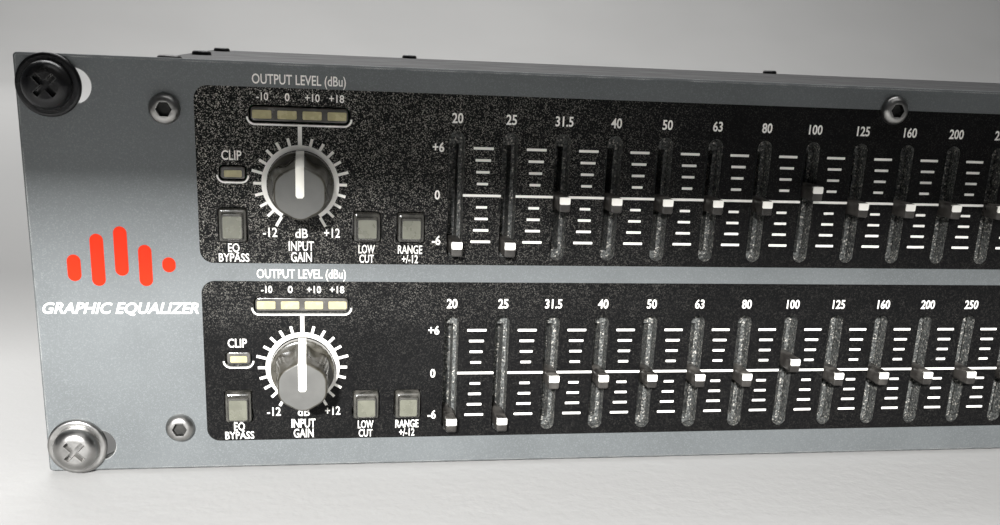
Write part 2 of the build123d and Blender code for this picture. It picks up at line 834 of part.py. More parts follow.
# ---- rack screws: a round cross-slotted head, a plain neck in the slot, a thread behind the ear ----
with BuildPart() as rack_screws:
    with BuildSketch(across(-rack_washer)):
        with Locations(*rack_places):
            Circle(rack_head_radius)
    extrude(amount=rack_head)
    head_faces = rack_screws.faces().filter_by(Axis.Y).group_by(Axis.Y)[0]
    fillet(head_faces.edges(), rack_head_round)
    with BuildSketch(across(-rack_washer - rack_head)):
        with Locations(*rack_places):
            Rectangle(recess_width, recess_length, rotation=45)
            Rectangle(recess_width, recess_length, rotation=-45)
    extrude(amount=-recess_depth, mode=Mode.SUBTRACT)
    with BuildSketch(across(-rack_washer)):
        with Locations(*rack_places):
            Circle(rack_neck_radius)
    extrude(amount=-rack_washer - panel_thickness)
    with BuildSketch(across(panel_thickness)):
        with Locations(*rack_places):
            Circle(rack_thread_radius)
    extrude(amount=-rack_thread_length)
rack_screws.part.label = "rack_screws"
export_step(rack_screws.part, "parts/rack_screws.step")

# ---- rack washers: one under each rack screw's head ----
with BuildPart() as rack_washers:
    with BuildSketch(across(0)):
        with Locations(*rack_places):
            Circle(rack_washer_radius)
            Circle(rack_washer_bore, mode=Mode.SUBTRACT)
    extrude(amount=rack_washer)
    outer_rims = rack_washers.edges().filter_by(GeomType.CIRCLE).group_by(SortBy.RADIUS)[-1]
    fillet(outer_rims.group_by(Axis.Y)[0], rack_washer / 2)
rack_washers.part.label = "rack_washers"
export_step(rack_washers.part, "parts/rack_washers.step")

# ---- panel screws: button heads with a hexagon socket, through the panel into the front wall ----
with BuildPart() as panel_screws:
    with BuildSketch(across(0)):
        with Locations(*corner_screws, *top_screws):
            Circle(panel_head_radius)
    extrude(amount=panel_head)
    button_heads = panel_screws.faces().filter_by(Axis.Y).group_by(Axis.Y)[0]
    fillet(button_heads.edges(), panel_head_round)
    with BuildSketch(across(-panel_head)):
        with Locations(*corner_screws, *top_screws):
            RegularPolygon(panel_socket, 6)
    extrude(amount=-panel_socket_depth, mode=Mode.SUBTRACT)
    with BuildSketch(across(0)):
        with Locations(*corner_screws, *top_screws):
            Circle(m3_radius)
    extrude(amount=-panel_screw_length)
panel_screws.part.label = "panel_screws"
export_step(panel_screws.part, "parts/panel_screws.step")

# ---- small screws: one kind holds the cover, the three-pole sockets and the mains inlet ----
with BuildPart() as small_screws:
    with BuildSketch(level(cover_top)):
        with Locations(*cover_screws):
            Circle(small_head_radius)
    extrude(amount=small_head)
    cover_heads = small_screws.faces().filter_by(Axis.Z).group_by(Axis.Z)[-1]
    fillet(cover_heads.edges(), small_head_round)
    with BuildSketch(across(chassis_depth + socket_flange)):
        with Locations(*xlr_screws, *inlet_screws):
            Circle(small_head_radius)
    extrude(amount=-small_head)
    rear_heads = small_screws.faces().filter_by(Axis.Y).group_by(Axis.Y)[-1]
    fillet(rear_heads.edges(), small_head_round)
    with BuildSketch(level(cover_top + small_head)):
        with Locations(*cover_screws):
            Rectangle(small_recess_width, small_recess_length, rotation=45)
            Rectangle(small_recess_width, small_recess_length, rotation=-45)
    extrude(amount=-small_recess_depth, mode=Mode.SUBTRACT)
    with BuildSketch(across(chassis_depth + socket_flange + small_head)):
        with Locations(*xlr_screws, *inlet_screws):
            Rectangle(small_recess_width, small_recess_length, rotation=45)
            Rectangle(small_recess_width, small_recess_length, rotation=-45)
    extrude(amount=small_recess_depth, mode=Mode.SUBTRACT)
    with BuildSketch(level(cover_top)):
        with Locations(*cover_screws):
            Circle(m3_radius)
    extrude(amount=-small_screw_length)
    with BuildSketch(across(chassis_depth + socket_flange)):
        with Locations(*xlr_screws, *inlet_screws):
            Circle(m3_radius)
    extrude(amount=small_screw_length)
small_screws.part.label = "small_screws"
export_step(small_screws.part, "parts/small_screws.step")
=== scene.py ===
"""Looks of a two-channel rack graphic equalizer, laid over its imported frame.

Metres, in the frame's own axes: +X is to the right seen from the front, +Y backwards, +Z up.
"""

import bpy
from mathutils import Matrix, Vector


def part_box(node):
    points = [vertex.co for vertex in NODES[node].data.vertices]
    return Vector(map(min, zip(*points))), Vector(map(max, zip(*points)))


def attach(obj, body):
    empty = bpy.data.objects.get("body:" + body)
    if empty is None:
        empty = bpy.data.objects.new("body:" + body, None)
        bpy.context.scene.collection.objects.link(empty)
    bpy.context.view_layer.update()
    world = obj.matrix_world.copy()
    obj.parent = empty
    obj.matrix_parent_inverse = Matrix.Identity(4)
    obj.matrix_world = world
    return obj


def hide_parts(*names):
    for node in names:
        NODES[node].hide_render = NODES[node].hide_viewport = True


bl_info = {
    "name": "Rack Graphic Equalizer",
    "version": (1, 0, 0),
    "blender": (4, 5, 0),
    "location": "View3D > Sidebar > Equalizer",
    "description": "Finishes, printing and small parts of a two-channel rack graphic equalizer",
    "category": "Object",
}

from math import cos, hypot, pi, radians, sin

import bmesh
import bpy
from bpy.props import FloatProperty, FloatVectorProperty, PointerProperty
from mathutils import Euler, Matrix, Vector

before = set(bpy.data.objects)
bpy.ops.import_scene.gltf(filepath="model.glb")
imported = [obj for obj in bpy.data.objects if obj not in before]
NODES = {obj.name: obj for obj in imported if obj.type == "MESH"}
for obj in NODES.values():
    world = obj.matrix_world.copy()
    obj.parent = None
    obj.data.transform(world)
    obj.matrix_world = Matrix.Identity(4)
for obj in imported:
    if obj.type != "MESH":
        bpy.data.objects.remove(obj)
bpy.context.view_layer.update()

MM = 0.001
BODY = "equalizer"


def middle(node):
    """The middle of a frame node's box."""
    low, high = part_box(node)
    return (low + high) / 2


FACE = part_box("front_panel")[0].y
PANEL_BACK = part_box("front_panel")[1].y
PANEL_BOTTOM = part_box("front_panel")[0].z
PANEL_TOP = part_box("front_panel")[1].z
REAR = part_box("chassis_tray")[1].y
KNOBS = [middle("gain_knob_1"), middle("gain_knob_2")]
FADERS = sorted(
    (name for name in NODES if name.startswith("fader_") and name != "fader_housings"),
    key=lambda name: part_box(name)[0].x,
)
BUTTONS = sorted(name for name in NODES if "_button_" in name)

# The fader's middle mark in each channel is this far under the middle of its gain knob.
ZERO_UNDER_KNOB = 1.66 * MM
ZEROS = [knob.z - ZERO_UNDER_KNOB for knob in KNOBS]

# An upright face of the object as a drawing sheet: x to the right, y up, z out of the face.
FRONT_SHEET = Matrix(((1, 0, 0, 0), (0, 0, -1, FACE), (0, 1, 0, 0), (0, 0, 0, 1)))
REAR_SHEET = Matrix(((-1, 0, 0, 0), (0, 0, 1, REAR), (0, 1, 0, 0), (0, 0, 0, 1)))

# Blocks of the level and clip lights, placed from the zero line and from the bypass button.
METER_ABOVE_ZERO = 15.8 * MM
METER_WIDTH = 20.0 * MM
METER_HEIGHT = 3.0 * MM
CLIP_ABOVE_ZERO = 3.67 * MM
CLIP_ASIDE = 0.25 * MM
CLIP_WIDTH = 5.1 * MM
CLIP_HEIGHT = 2.7 * MM

# Thickness of the black fields and of the white print.
FILM = 0.03 * MM
INK = 0.03 * MM

SHARP_EDGE = radians(38)
END_RIM = 0.04


# ---------------------------------------------------------------- settings


def colour(name, description, default):
    """A colour that a user may change."""
    return FloatVectorProperty(
        name=name, description=description, subtype="COLOR", size=3, min=0, max=1, default=default
    )


def length(name, description, default):
    """A length that a user may change, given in millimetres and kept in metres."""
    return FloatProperty(
        name=name,
        description=description,
        subtype="DISTANCE",
        unit="LENGTH",
        min=0,
        default=default * MM,
    )


def share(name, description, default):
    """A share from 0 to 1 that a user may change."""
    return FloatProperty(
        name=name, description=description, subtype="FACTOR", min=0, max=1, default=default
    )


def power(name, description, default):
    """A lamp's power that a user may change, in watts."""
    return FloatProperty(
        name=name, description=description, unit="POWER", min=0, default=default
    )


class PanelSettings(bpy.types.PropertyGroup):
    """Paint and printing of the front panel."""

    paint: colour("Paint", "Fine metallic paint of the panel", (0.118, 0.127, 0.129))
    bare: colour("Bare metal", "Aluminium where the paint has worn off", (0.62, 0.62, 0.60))
    field: colour("Print field", "Black fields behind the controls", (0.0035, 0.0035, 0.0037))
    ink: colour("Ink", "White print", (0.85, 0.83, 0.78))
    emblem: colour("Emblem", "Emblem on the left ear", (0.52, 0.022, 0.004))
    field_end: length("Field end", "From the panel's middle to each end of a black field", 207.5)
    field_top: length("Field top", "Top of a black field, above the zero line", 21.1)
    field_bottom: length("Field bottom", "Bottom of a black field, below the zero line", 15.3)
    field_corner: length("Field corner", "Radius of a black field's corners", 2.8)
    mark_step: length("Mark step", "Between two marks of a fader's scale", 2.52)
    mark_height: length("Mark height", "Thickness of a scale mark", 0.55)
    # The black fields' glitter is painted glints: pale specks that stand in for reflections of the
    # light.
    painted_glints: share("Sparkle", "How much the grain of the black fields glitters", 0.8)


class ControlSettings(bpy.types.PropertyGroup):
    """Knobs, levers, buttons and lights."""

    knob: colour("Knob", "Smoky sides of a gain knob", (0.034, 0.031, 0.022))
    knob_face: colour("Knob face", "Matt face of a gain knob", (0.084, 0.083, 0.077))
    pointer: colour("Pointer", "Pointer bar of a gain knob", (0.86, 0.84, 0.76))
    lever: colour("Lever", "Fader lever", (0.022, 0.020, 0.018))
    index: colour("Index", "Index stripe of a fader lever", (0.88, 0.86, 0.80))
    button: colour("Button", "Smoky shell of a push button", (0.034, 0.033, 0.028))
    lens: colour("Lens", "Window of a push button", (0.115, 0.115, 0.088))
    light_bar: colour("Light bar", "Block of the level and clip lights", (0.060, 0.056, 0.050))
    lamp: colour("Lamp", "Unlit windows of the level and clip lights", (0.42, 0.375, 0.20))


class StageSettings(bpy.types.PropertyGroup):
    """Floor, lights and camera."""

    floor: colour("Floor", "Floor and backdrop", (0.42, 0.415, 0.405))
    key_power: power("Key light", "Power of the key light", 4.3)
    fill_power: power("Fill light", "Power of the broad fill light", 8.0)
    lens: FloatProperty(
        name="Lens",
        description="Focal length",
        unit="CAMERA",
        subtype="DISTANCE_CAMERA",
        default=38.14,
    )


# ---------------------------------------------------------------- mesh tools


def rounded(width, height, radius, centre=(0, 0), steps=6):
    """Outline of a rectangle with round corners, anticlockwise."""
    radius = min(radius, width / 2, height / 2)
    points = []
    for quarter, (side, up) in enumerate(((1, 1), (-1, 1), (-1, -1), (1, -1))):
        for step in range(steps + 1):
            angle = (quarter + step / steps) * pi / 2
            x = centre[0] + side * (width / 2 - radius) + radius * cos(angle)
            y = centre[1] + up * (height / 2 - radius) + radius * sin(angle)
            points.append((x, y))
    return points


def arc_band(centre, inner, outer, start, end, steps):
    """Outline of a flat ring's stretch; angles are clockwise from straight up, in degrees."""
    turns = [radians(start + (end - start) * step / steps) for step in range(steps + 1)]
    outside = [(centre[0] + outer * sin(turn), centre[1] + outer * cos(turn)) for turn in turns]
    inside = [(centre[0] + inner * sin(turn), centre[1] + inner * cos(turn)) for turn in turns]
    return list(reversed(outside)) + inside


def prism(mesh, outline, low, high, inset=0.0):
    """Adds a solid with this flat outline from low to high; inset draws its top in."""
    middle_x = sum(x for x, y in outline) / len(outline)
    middle_y = sum(y for x, y in outline) / len(outline)
    reach = max(hypot(x - middle_x, y - middle_y) for x, y in outline)
    shrink = 1 - inset / reach
    bottom = [mesh.verts.new((x, y, low)) for x, y in outline]
    top = []
    for x, y in outline:
        moved = (middle_x + (x - middle_x) * shrink, middle_y + (y - middle_y) * shrink)
        top.append(mesh.verts.new((*moved, high)))
    made = [mesh.faces.new(list(reversed(bottom))), mesh.faces.new(top)]
    for number in range(len(outline)):
        after = (number + 1) % len(outline)
        made.append(mesh.faces.new((bottom[number], bottom[after], top[after], top[number])))
    return made


def loft(mesh, rings):
    """Joins closed rings of points, in order, by strips of faces, and closes both ends.

    The far end's face stands inside a narrow flat rim, so that it's shaded as flat.
    """
    last = [Vector(point) for point in rings[-1]]
    centre = sum(last, Vector()) / len(last)
    rings = [*rings, [point.lerp(centre, END_RIM) for point in last]]
    rows = [[mesh.verts.new(point) for point in ring] for ring in rings]
    made = []
    for near, far in zip(rows, rows[1:]):
        for number in range(len(near)):
            after = (number + 1) % len(near)
            made.append(mesh.faces.new((near[number], near[after], far[after], far[number])))
    made.append(mesh.faces.new(list(reversed(rows[0]))))
    made.append(mesh.faces.new(rows[-1]))
    return made


def stepped(mesh, centre, width, height, corner, profile, steps):
    """Adds a rounded block whose sides are drawn in at each depth of its profile."""
    rings = []
    for depth, inset in profile:
        outline = rounded(width - 2 * inset, height - 2 * inset, corner, centre, steps)
        rings.append([(x, y, depth) for x, y in outline])
    loft(mesh, rings)


def split_wide_faces(mesh):
    """Cuts each face with many corners into triangles, so that hollow outlines stay hollow."""
    mesh.normal_update()
    bmesh.ops.triangulate(mesh, faces=[face for face in mesh.faces if len(face.verts) > 4])


def letters(text, height, bold, slant, width):
    """A mesh of letters, 1 thick, with its middle at x 0 and its baseline at y -height/2.

    height is that of a capital; width, if given, is the whole text's.
    """
    curve = bpy.data.curves.new("letters", "FONT")
    curve.body = text
    curve.offset = bold
    curve.shear = slant
    curve.extrude = 0.5
    curve.resolution_u = 3
    holder = bpy.data.objects.new("letters", curve)
    mesh = bpy.data.meshes.new_from_object(holder)
    bpy.data.objects.remove(holder)
    bpy.data.curves.remove(curve)
    xs = [vertex.co.x for vertex in mesh.vertices]
    size = height / CAPITAL
    across = (width / (max(xs) - min(xs))) if width else size
    shift = Matrix.Translation((-(max(xs) + min(xs)) / 2, -CAPITAL / 2, 0.5))
    mesh.transform(Matrix.Diagonal((across, size, 1, 1)) @ shift)
    return mesh


def capital_height():
    """Height of a capital letter of the built-in font at size 1."""
    curve = bpy.data.curves.new("capital", "FONT")
    curve.body = "H"
    holder = bpy.data.objects.new("capital", curve)
    mesh = bpy.data.meshes.new_from_object(holder)
    ys = [vertex.co.y for vertex in mesh.vertices]
    bpy.data.objects.remove(holder)
    bpy.data.curves.remove(curve)
    bpy.data.meshes.remove(mesh)
    return max(ys) - min(ys)


CAPITAL = capital_height()


def write(mesh, text, x, y, height, low, bold=0.012, slant=0.0, width=None, narrow=0.86):
    """Adds a word to a drawing, its middle at x, y."""
    word = letters(text, height, bold, slant, width)
    squeeze = 1 if width else narrow
    word.transform(Matrix.Translation((x, y, low)) @ Matrix.Diagonal((squeeze, 1, INK, 1)))
    mesh.from_mesh(word)
    bpy.data.meshes.remove(word)


def piece(name, mesh, sheet, body, slot, *materials, smooth=False):
    """Makes a named piece of a bmesh, places it, gives it its finishes and lets it ride."""
    bmesh.ops.recalc_face_normals(mesh, faces=mesh.faces)
    data = bpy.data.meshes.new(name)
    mesh.to_mesh(data)
    mesh.free()
    data.transform(sheet)
    for material in materials:
        data.materials.append(material)
    made = bpy.data.objects.new(name, data)
    bpy.context.scene.collection.objects.link(made)
    if smooth:
        data.shade_smooth()
        data.set_sharp_from_angle(angle=SHARP_EDGE)
    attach(made, body)
    return made


def dress(node, finish, *patches):
    """Gives a frame node its finish, and others where a test of a face's place holds."""
    data = NODES[node].data
    data.materials.clear()
    data.materials.append(finish)
    for number, (material, test) in enumerate(patches, 1):
        data.materials.append(material)
        for face in data.polygons:
            if test(face.center, face.normal):
                face.material_index = number


def solid_middles(node):
    """The middle of each separate solid of a frame node."""
    mesh = bmesh.new()
    mesh.from_mesh(NODES[node].data)
    bmesh.ops.remove_doubles(mesh, verts=mesh.verts, dist=MM / 1000)
    waiting = dict.fromkeys(mesh.verts)
    middles = []
    while waiting:
        reached = [waiting.popitem()[0]]
        solid = []
        while reached:
            here = reached.pop()
            solid.append(here.co.copy())
            for edge in here.link_edges:
                other = edge.other_vert(here)
                if other in waiting:
                    del waiting[other]
                    reached.append(other)
        low = Vector(min(point[axis] for point in solid) for axis in range(3))
        high = Vector(max(point[axis] for point in solid) for axis in range(3))
        middles.append((low + high) / 2)
    mesh.free()
    return middles


def plate_openings(node):
    """Outlines of the openings in a plate's front face, each a list of x, z points."""
    mesh = bmesh.new()
    mesh.from_mesh(NODES[node].data)
    bmesh.ops.remove_doubles(mesh, verts=mesh.verts, dist=MM / 1000)
    front = min(vertex.co.y for vertex in mesh.verts)
    others = [f for f in mesh.faces if any(v.co.y > front + MM / 100 for v in f.verts)]
    bmesh.ops.delete(mesh, geom=others, context="FACES")
    left = dict.fromkeys(edge for edge in mesh.edges if edge.is_boundary)
    loops = []
    while left:
        edge = left.popitem()[0]
        start, here = edge.verts
        loop = [start.co.copy(), here.co.copy()]
        while here != start:
            edge = next(e for e in here.link_edges if e in left)
            del left[edge]
            here = edge.other_vert(here)
            loop.append(here.co.copy())
        loops.append([(point.x, point.z) for point in loop[:-1]])
    mesh.free()
    loops.sort(key=lambda loop: max(x for x, z in loop) - min(x for x, z in loop))
    return loops[:-1]


# ---------------------------------------------------------------- shared effects


def add(tree, kind, inputs=None, **settings):
    """Adds a shader node; each input takes a value or another node's output."""
    made = tree.nodes.new("ShaderNode" + kind)
    for key, value in settings.items():
        setattr(made, key, value)
    for key, value in (inputs or {}).items():
        if isinstance(value, bpy.types.NodeSocket):
            tree.links.new(value, made.inputs[key])
        else:
            made.inputs[key].default_value = value
    return made


def calc(tree, operation, first, second=0.0, third=0.0, clamp=False):
    """The result of one piece of arithmetic on masks or numbers."""
    numbers = {0: first, 1: second, 2: third}
    return add(tree, "Math", numbers, operation=operation, use_clamp=clamp).outputs[0]


def cloud(tree, size, detail=4.0, stretch=(1, 1, 1)):
    """Soft noise whose lumps are about this size."""
    place = add(tree, "TexCoord").outputs["Object"]
    drawn = add(tree, "VectorMath", {0: place, 1: stretch}, operation="MULTIPLY").outputs[0]
    scale = calc(tree, "DIVIDE", 1.0, size)
    noise = add(tree, "TexNoise", {"Vector": drawn, "Scale": scale, "Detail": detail})
    return noise.outputs["Fac"]


def spread(tree, value, low, high):
    """Stretches the part of a value from low to high over 0 to 1."""
    return add(tree, "MapRange", {"Value": value, "From Min": low, "From Max": high}).outputs[0]


def place_parts(tree):
    """The x, y and z of a point in the object's own frame."""
    place = add(tree, "TexCoord").outputs["Object"]
    return add(tree, "SeparateXYZ", {0: place}).outputs


def mottle(tree, given):
    """Broad, soft unevenness of a colour or a gloss."""
    soft = spread(tree, cloud(tree, given["Size"]), 0.35, 0.65)
    scaled = calc(tree, "MULTIPLY", calc(tree, "SUBTRACT", soft, 0.5), given["Contrast"])
    return calc(tree, "ADD", scaled, 0.5, clamp=True)


def grain(tree, given):
    """Fine relief of a moulded, cast or powder-coated skin."""
    coarse = cloud(tree, given["Size"], 3.0)
    finer = cloud(tree, calc(tree, "MULTIPLY", given["Size"], 0.35), 1.0)
    return calc(tree, "ADD", coarse, calc(tree, "MULTIPLY", finer, 0.4))


def edge_wear(tree, given):
    """Where an edge has lost its coat."""
    round_normal = add(tree, "Bevel", {"Radius": given["Reach"]}, samples=6).outputs[0]
    flat_normal = add(tree, "NewGeometry").outputs["Normal"]
    along = add(tree, "VectorMath", {0: round_normal, 1: flat_normal}, operation="DOT_PRODUCT")
    edge = spread(tree, along.outputs["Value"], 0.995, 0.86)
    patchy = spread(tree, cloud(tree, given["Size"], 6.0), 0.62, 0.38)
    worn = calc(tree, "MULTIPLY", edge, patchy)
    return calc(tree, "MULTIPLY", worn, given["Amount"], clamp=True)


def dust(tree, given):
    """Dust that has settled on what faces up, thinner on what stands upright."""
    normal = add(tree, "NewGeometry").outputs["Normal"]
    up = add(tree, "SeparateXYZ", {0: normal}).outputs["Z"]
    lying = spread(tree, up, -0.6, 1.0)
    patchy = spread(tree, cloud(tree, given["Size"], 8.0), 0.42, 0.7)
    both = calc(tree, "MULTIPLY", lying, patchy)
    return calc(tree, "MULTIPLY", both, given["Amount"], clamp=True)


def flakes(tree, given):
    """Separate bright grains, such as metal flakes in a paint, specks of dust, and the painted
    glints of the black fields.
    """
    place = add(tree, "TexCoord").outputs["Object"]
    scale = calc(tree, "DIVIDE", 1.0, given["Size"])
    cells = add(tree, "TexVoronoi", {"Vector": place, "Scale": scale}, feature="F1")
    value = add(tree, "SeparateColor", {0: cells.outputs["Color"]}).outputs[0]
    above = calc(tree, "SUBTRACT", value, calc(tree, "SUBTRACT", 1.0, given["Share"]))
    return calc(tree, "DIVIDE", above, given["Share"], clamp=True)


def scratches(tree, given):
    """Fine straight marks of handling or brushing along X."""
    thin = spread(tree, cloud(tree, given["Size"], 2.0, (0.02, 1, 1)), 0.55, 0.75)
    return calc(tree, "MULTIPLY", thin, given["Amount"], clamp=True)


# Each shared effect's name, its drawing, its inputs and what it gives.
PLANS = (
    ("Mottle", mottle, {"Size": 0.02, "Contrast": 1.0}, "Mask"),
    ("Grain", grain, {"Size": 0.0004}, "Height"),
    ("Edge wear", edge_wear, {"Reach": 0.0005, "Amount": 0.5, "Size": 0.004}, "Mask"),
    ("Dust", dust, {"Amount": 0.3, "Size": 0.003}, "Mask"),
    ("Flakes", flakes, {"Size": 0.0003, "Share": 0.2}, "Mask"),
    ("Scratches", scratches, {"Size": 0.0006, "Amount": 0.5}, "Mask"),
)
EFFECTS = {}


def build_effects():
    """Builds each shared effect once."""
    for name, draw, inputs, output in PLANS:
        tree = bpy.data.node_groups.new(name, "ShaderNodeTree")
        for label, value in inputs.items():
            given = tree.interface.new_socket(
                label, in_out="INPUT", socket_type="NodeSocketFloat"
            )
            given.default_value = value
        tree.interface.new_socket(output, in_out="OUTPUT", socket_type="NodeSocketFloat")
        enter = tree.nodes.new("NodeGroupInput")
        leave = tree.nodes.new("NodeGroupOutput")
        tree.links.new(draw(tree, enter.outputs), leave.inputs[0])
        EFFECTS[name] = tree


def use(tree, name, **values):
    """Places a shared effect with its own values, and returns its result."""
    placed = tree.nodes.new("ShaderNodeGroup")
    placed.node_tree = EFFECTS[name]
    for key, value in values.items():
        placed.inputs[key.capitalize()].default_value = value
    return placed.outputs[0]


# ---------------------------------------------------------------- finishes


def mixed(tree, mask, first, second):
    """A colour that goes from first to second as the mask goes from 0 to 1."""
    mix = add(tree, "Mix", {0: mask}, data_type="RGBA")
    for place, value in ((6, first), (7, second)):
        if isinstance(value, bpy.types.NodeSocket):
            tree.links.new(value, mix.inputs[place])
        else:
            mix.inputs[place].default_value = (*value, 1.0)
    return mix.outputs[2]


def ramp(tree, mask, first, second):
    """A number that goes from first to second as the mask goes from 0 to 1."""
    return add(tree, "MapRange", {"Value": mask, "To Min": first, "To Max": second}).outputs[0]


def shade(colour_value, factor):
    """A colour made lighter or darker."""
    return tuple(min(1.0, channel * factor) for channel in colour_value)


FINISHES = {}


DUST_COLOUR = (0.30, 0.28, 0.25)
COAT_ROUGHNESS = 0.08


def finish(
    name, base, roughness, metallic=0.0, contrast=0.25, mottle_size=0.015, grain_size=0.0004,
    grain_depth=0.00001, wear=0.0, wear_reach=0.0004, bare=(0.6, 0.6, 0.58), dusty=0.0,
    dust_size=0.003, rough_spread=0.12, coat=0.0, gloss_level=0.5,
):
    """A procedural finish: uneven colour and gloss, fine grain, worn edges, settled dust.

    base is a plain colour, or a paint: a function that draws a colour in a material's tree.
    """
    if name in FINISHES:
        return FINISHES[name]
    material = bpy.data.materials.new(name)
    material.use_nodes = True
    tree = material.node_tree
    tree.nodes.clear()
    shader = add(tree, "BsdfPrincipled")
    output = add(tree, "OutputMaterial")
    tree.links.new(shader.outputs[0], output.inputs["Surface"])
    blotches = use(tree, "Mottle", size=mottle_size)
    if callable(base):
        tint = base(tree)
    else:
        tint = mixed(tree, blotches, shade(base, 1 - contrast), shade(base, 1 + contrast))
    gloss = ramp(tree, blotches, roughness - rough_spread / 2, roughness + rough_spread / 2)
    shader.inputs["Metallic"].default_value = metallic
    if wear:
        worn = use(tree, "Edge wear", reach=wear_reach, amount=wear)
        tint = mixed(tree, worn, tint, bare)
        tree.links.new(ramp(tree, worn, metallic, 1.0), shader.inputs["Metallic"])
    if dusty:
        settled = use(tree, "Dust", amount=dusty, size=dust_size)
        tint = mixed(tree, settled, tint, DUST_COLOUR)
        gloss = calc(tree, "MAXIMUM", gloss, settled)
    height = use(tree, "Grain", size=grain_size)
    relief = add(tree, "Bump", {"Height": height, "Distance": grain_depth, "Strength": 1.0})
    tree.links.new(tint, shader.inputs["Base Color"])
    tree.links.new(gloss, shader.inputs["Roughness"])
    tree.links.new(relief.outputs[0], shader.inputs["Normal"])
    shader.inputs["Coat Weight"].default_value = coat
    shader.inputs["Coat Roughness"].default_value = COAT_ROUGHNESS
    shader.inputs["Specular IOR Level"].default_value = gloss_level
    FINISHES[name] = material
    return material


# ---------------------------------------------------------------- pieces


def gritty(tree):
    """Dull grey metal with dark pits and pale specks of dust and old grease."""
    patches = spread(tree, cloud(tree, 0.0006, 6.0), 0.40, 0.62)
    base = mixed(tree, patches, (0.030, 0.031, 0.030), (0.150, 0.155, 0.147))
    specks = use(tree, "Flakes", size=0.0003, share=0.14)
    return mixed(tree, specks, base, (0.60, 0.57, 0.51))


class EQ_OT_front_panel(bpy.types.Operator):
    """Paint the front panel and lay the black fields on it, cut round its openings"""

    bl_idname = "eq.front_panel"
    bl_label = "Front panel"

    OUTER_EDGE = 0.6 * MM

    def execute(self, context):
        look = context.scene.eq_panel
        flaked = finish(
            "panel_paint", self.flaked_paint(look.paint), 0.46, 0.2, wear=0.9,
            wear_reach=0.00045, bare=look.bare, grain_size=0.0005, grain_depth=0.000012,
        )
        walls = finish("slot_wall", gritty, 0.65, 0.3, grain_size=0.0003, grain_depth=0.00004)
        rim = Vector((self.OUTER_EDGE, 0, self.OUTER_EDGE))
        low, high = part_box("front_panel")
        low = low + rim
        high = high - rim

        def is_wall(centre, normal):
            inside = low.x < centre.x < high.x and low.z < centre.z < high.z
            return abs(normal.y) < 0.5 and inside

        dress("front_panel", flaked, (walls, is_wall))
        # The black fields' pale specks are painted glints, fading away from the upper left.
        black = finish(
            "black_field", self.field_with_painted_glints(look.field, look.painted_glints), 0.38,
            grain_size=0.00035, grain_depth=0.000012, rough_spread=0.16, gloss_level=0.10,
        )
        openings = plate_openings("front_panel")
        for channel, zero in enumerate(ZEROS, 1):
            foot = zero - look.field_bottom
            head = zero + look.field_top
            centre = (0, (foot + head) / 2)
            outline = rounded(2 * look.field_end, head - foot, look.field_corner, centre, 8)
            cuts = [
                loop
                for loop in openings
                if all(abs(x) < look.field_end and foot < z < head for x, z in loop)
            ]
            self.lay_field(f"black_field_{channel}", [outline, *cuts], black)
        return {"FINISHED"}

    def lay_field(self, name, loops, material):
        """A thin film with this outline and these openings."""
        curve = bpy.data.curves.new(name, "CURVE")
        curve.dimensions = "2D"
        curve.fill_mode = "BOTH"
        curve.extrude = FILM / 2
        for loop in loops:
            spline = curve.splines.new("POLY")
            spline.points.add(len(loop) - 1)
            for point, (x, z) in zip(spline.points, loop):
                point.co = (x, z, 0, 1)
            spline.use_cyclic_u = True
        holder = bpy.data.objects.new(name, curve)
        flat = bpy.data.meshes.new_from_object(holder)
        bpy.data.objects.remove(holder)
        bpy.data.curves.remove(curve)
        mesh = bmesh.new()
        mesh.from_mesh(flat)
        bpy.data.meshes.remove(flat)
        bmesh.ops.remove_doubles(mesh, verts=mesh.verts, dist=MM / 1000)
        raised = FRONT_SHEET @ Matrix.Translation((0, 0, FILM / 2))
        return piece(name, mesh, raised, BODY, "panel_paint", material)

    def flaked_paint(self, base):
        """Pale flakes in a slightly uneven grey, with faint rub marks."""

        def painted(tree):
            broad = use(tree, "Mottle", size=0.03, contrast=0.8)
            tint = mixed(tree, broad, shade(base, 0.93), shade(base, 1.07))
            grains = use(tree, "Flakes", size=0.0002, share=0.35)
            bright = mixed(tree, grains, tint, shade(base, 1.3))
            rubbed = use(tree, "Scratches", size=0.0008, amount=0.08)
            return mixed(tree, rubbed, bright, shade(base, 1.2))

        return painted

    def field_with_painted_glints(self, base, amount):
        """Black with painted glints: pale specks that stand in for the light's reflections in the
        grain, dense near the upper left where the light falls, dying away to smooth black.
        """
        left_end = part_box("front_panel")[0].x
        # Colour of the painted glints, and the least share of them away from the upper left.
        glint_colour = (0.62, 0.59, 0.53)
        least_glint = 0.05

        def painted(tree):
            grains = use(tree, "Flakes", size=0.00018, share=0.3)
            patches = spread(tree, cloud(tree, 0.003, 5.0), 0.05, 0.6)
            glint_specks = calc(tree, "MULTIPLY", grains, patches)
            parts = place_parts(tree)
            # The painted glints die away further from the left end and near the panel's foot.
            glints_near_left = spread(tree, parts["X"], left_end + 0.15, left_end + 0.03)
            glints_higher_up = spread(tree, parts["Z"], PANEL_BOTTOM + 0.03, PANEL_BOTTOM + 0.07)
            glint_falloff = calc(tree, "MULTIPLY", glints_near_left, glints_higher_up)
            level = calc(tree, "MULTIPLY_ADD", glint_falloff, (1 - least_glint) * amount, least_glint * amount)
            return mixed(tree, calc(tree, "MULTIPLY", glint_specks, level), base, glint_colour)

        return painted


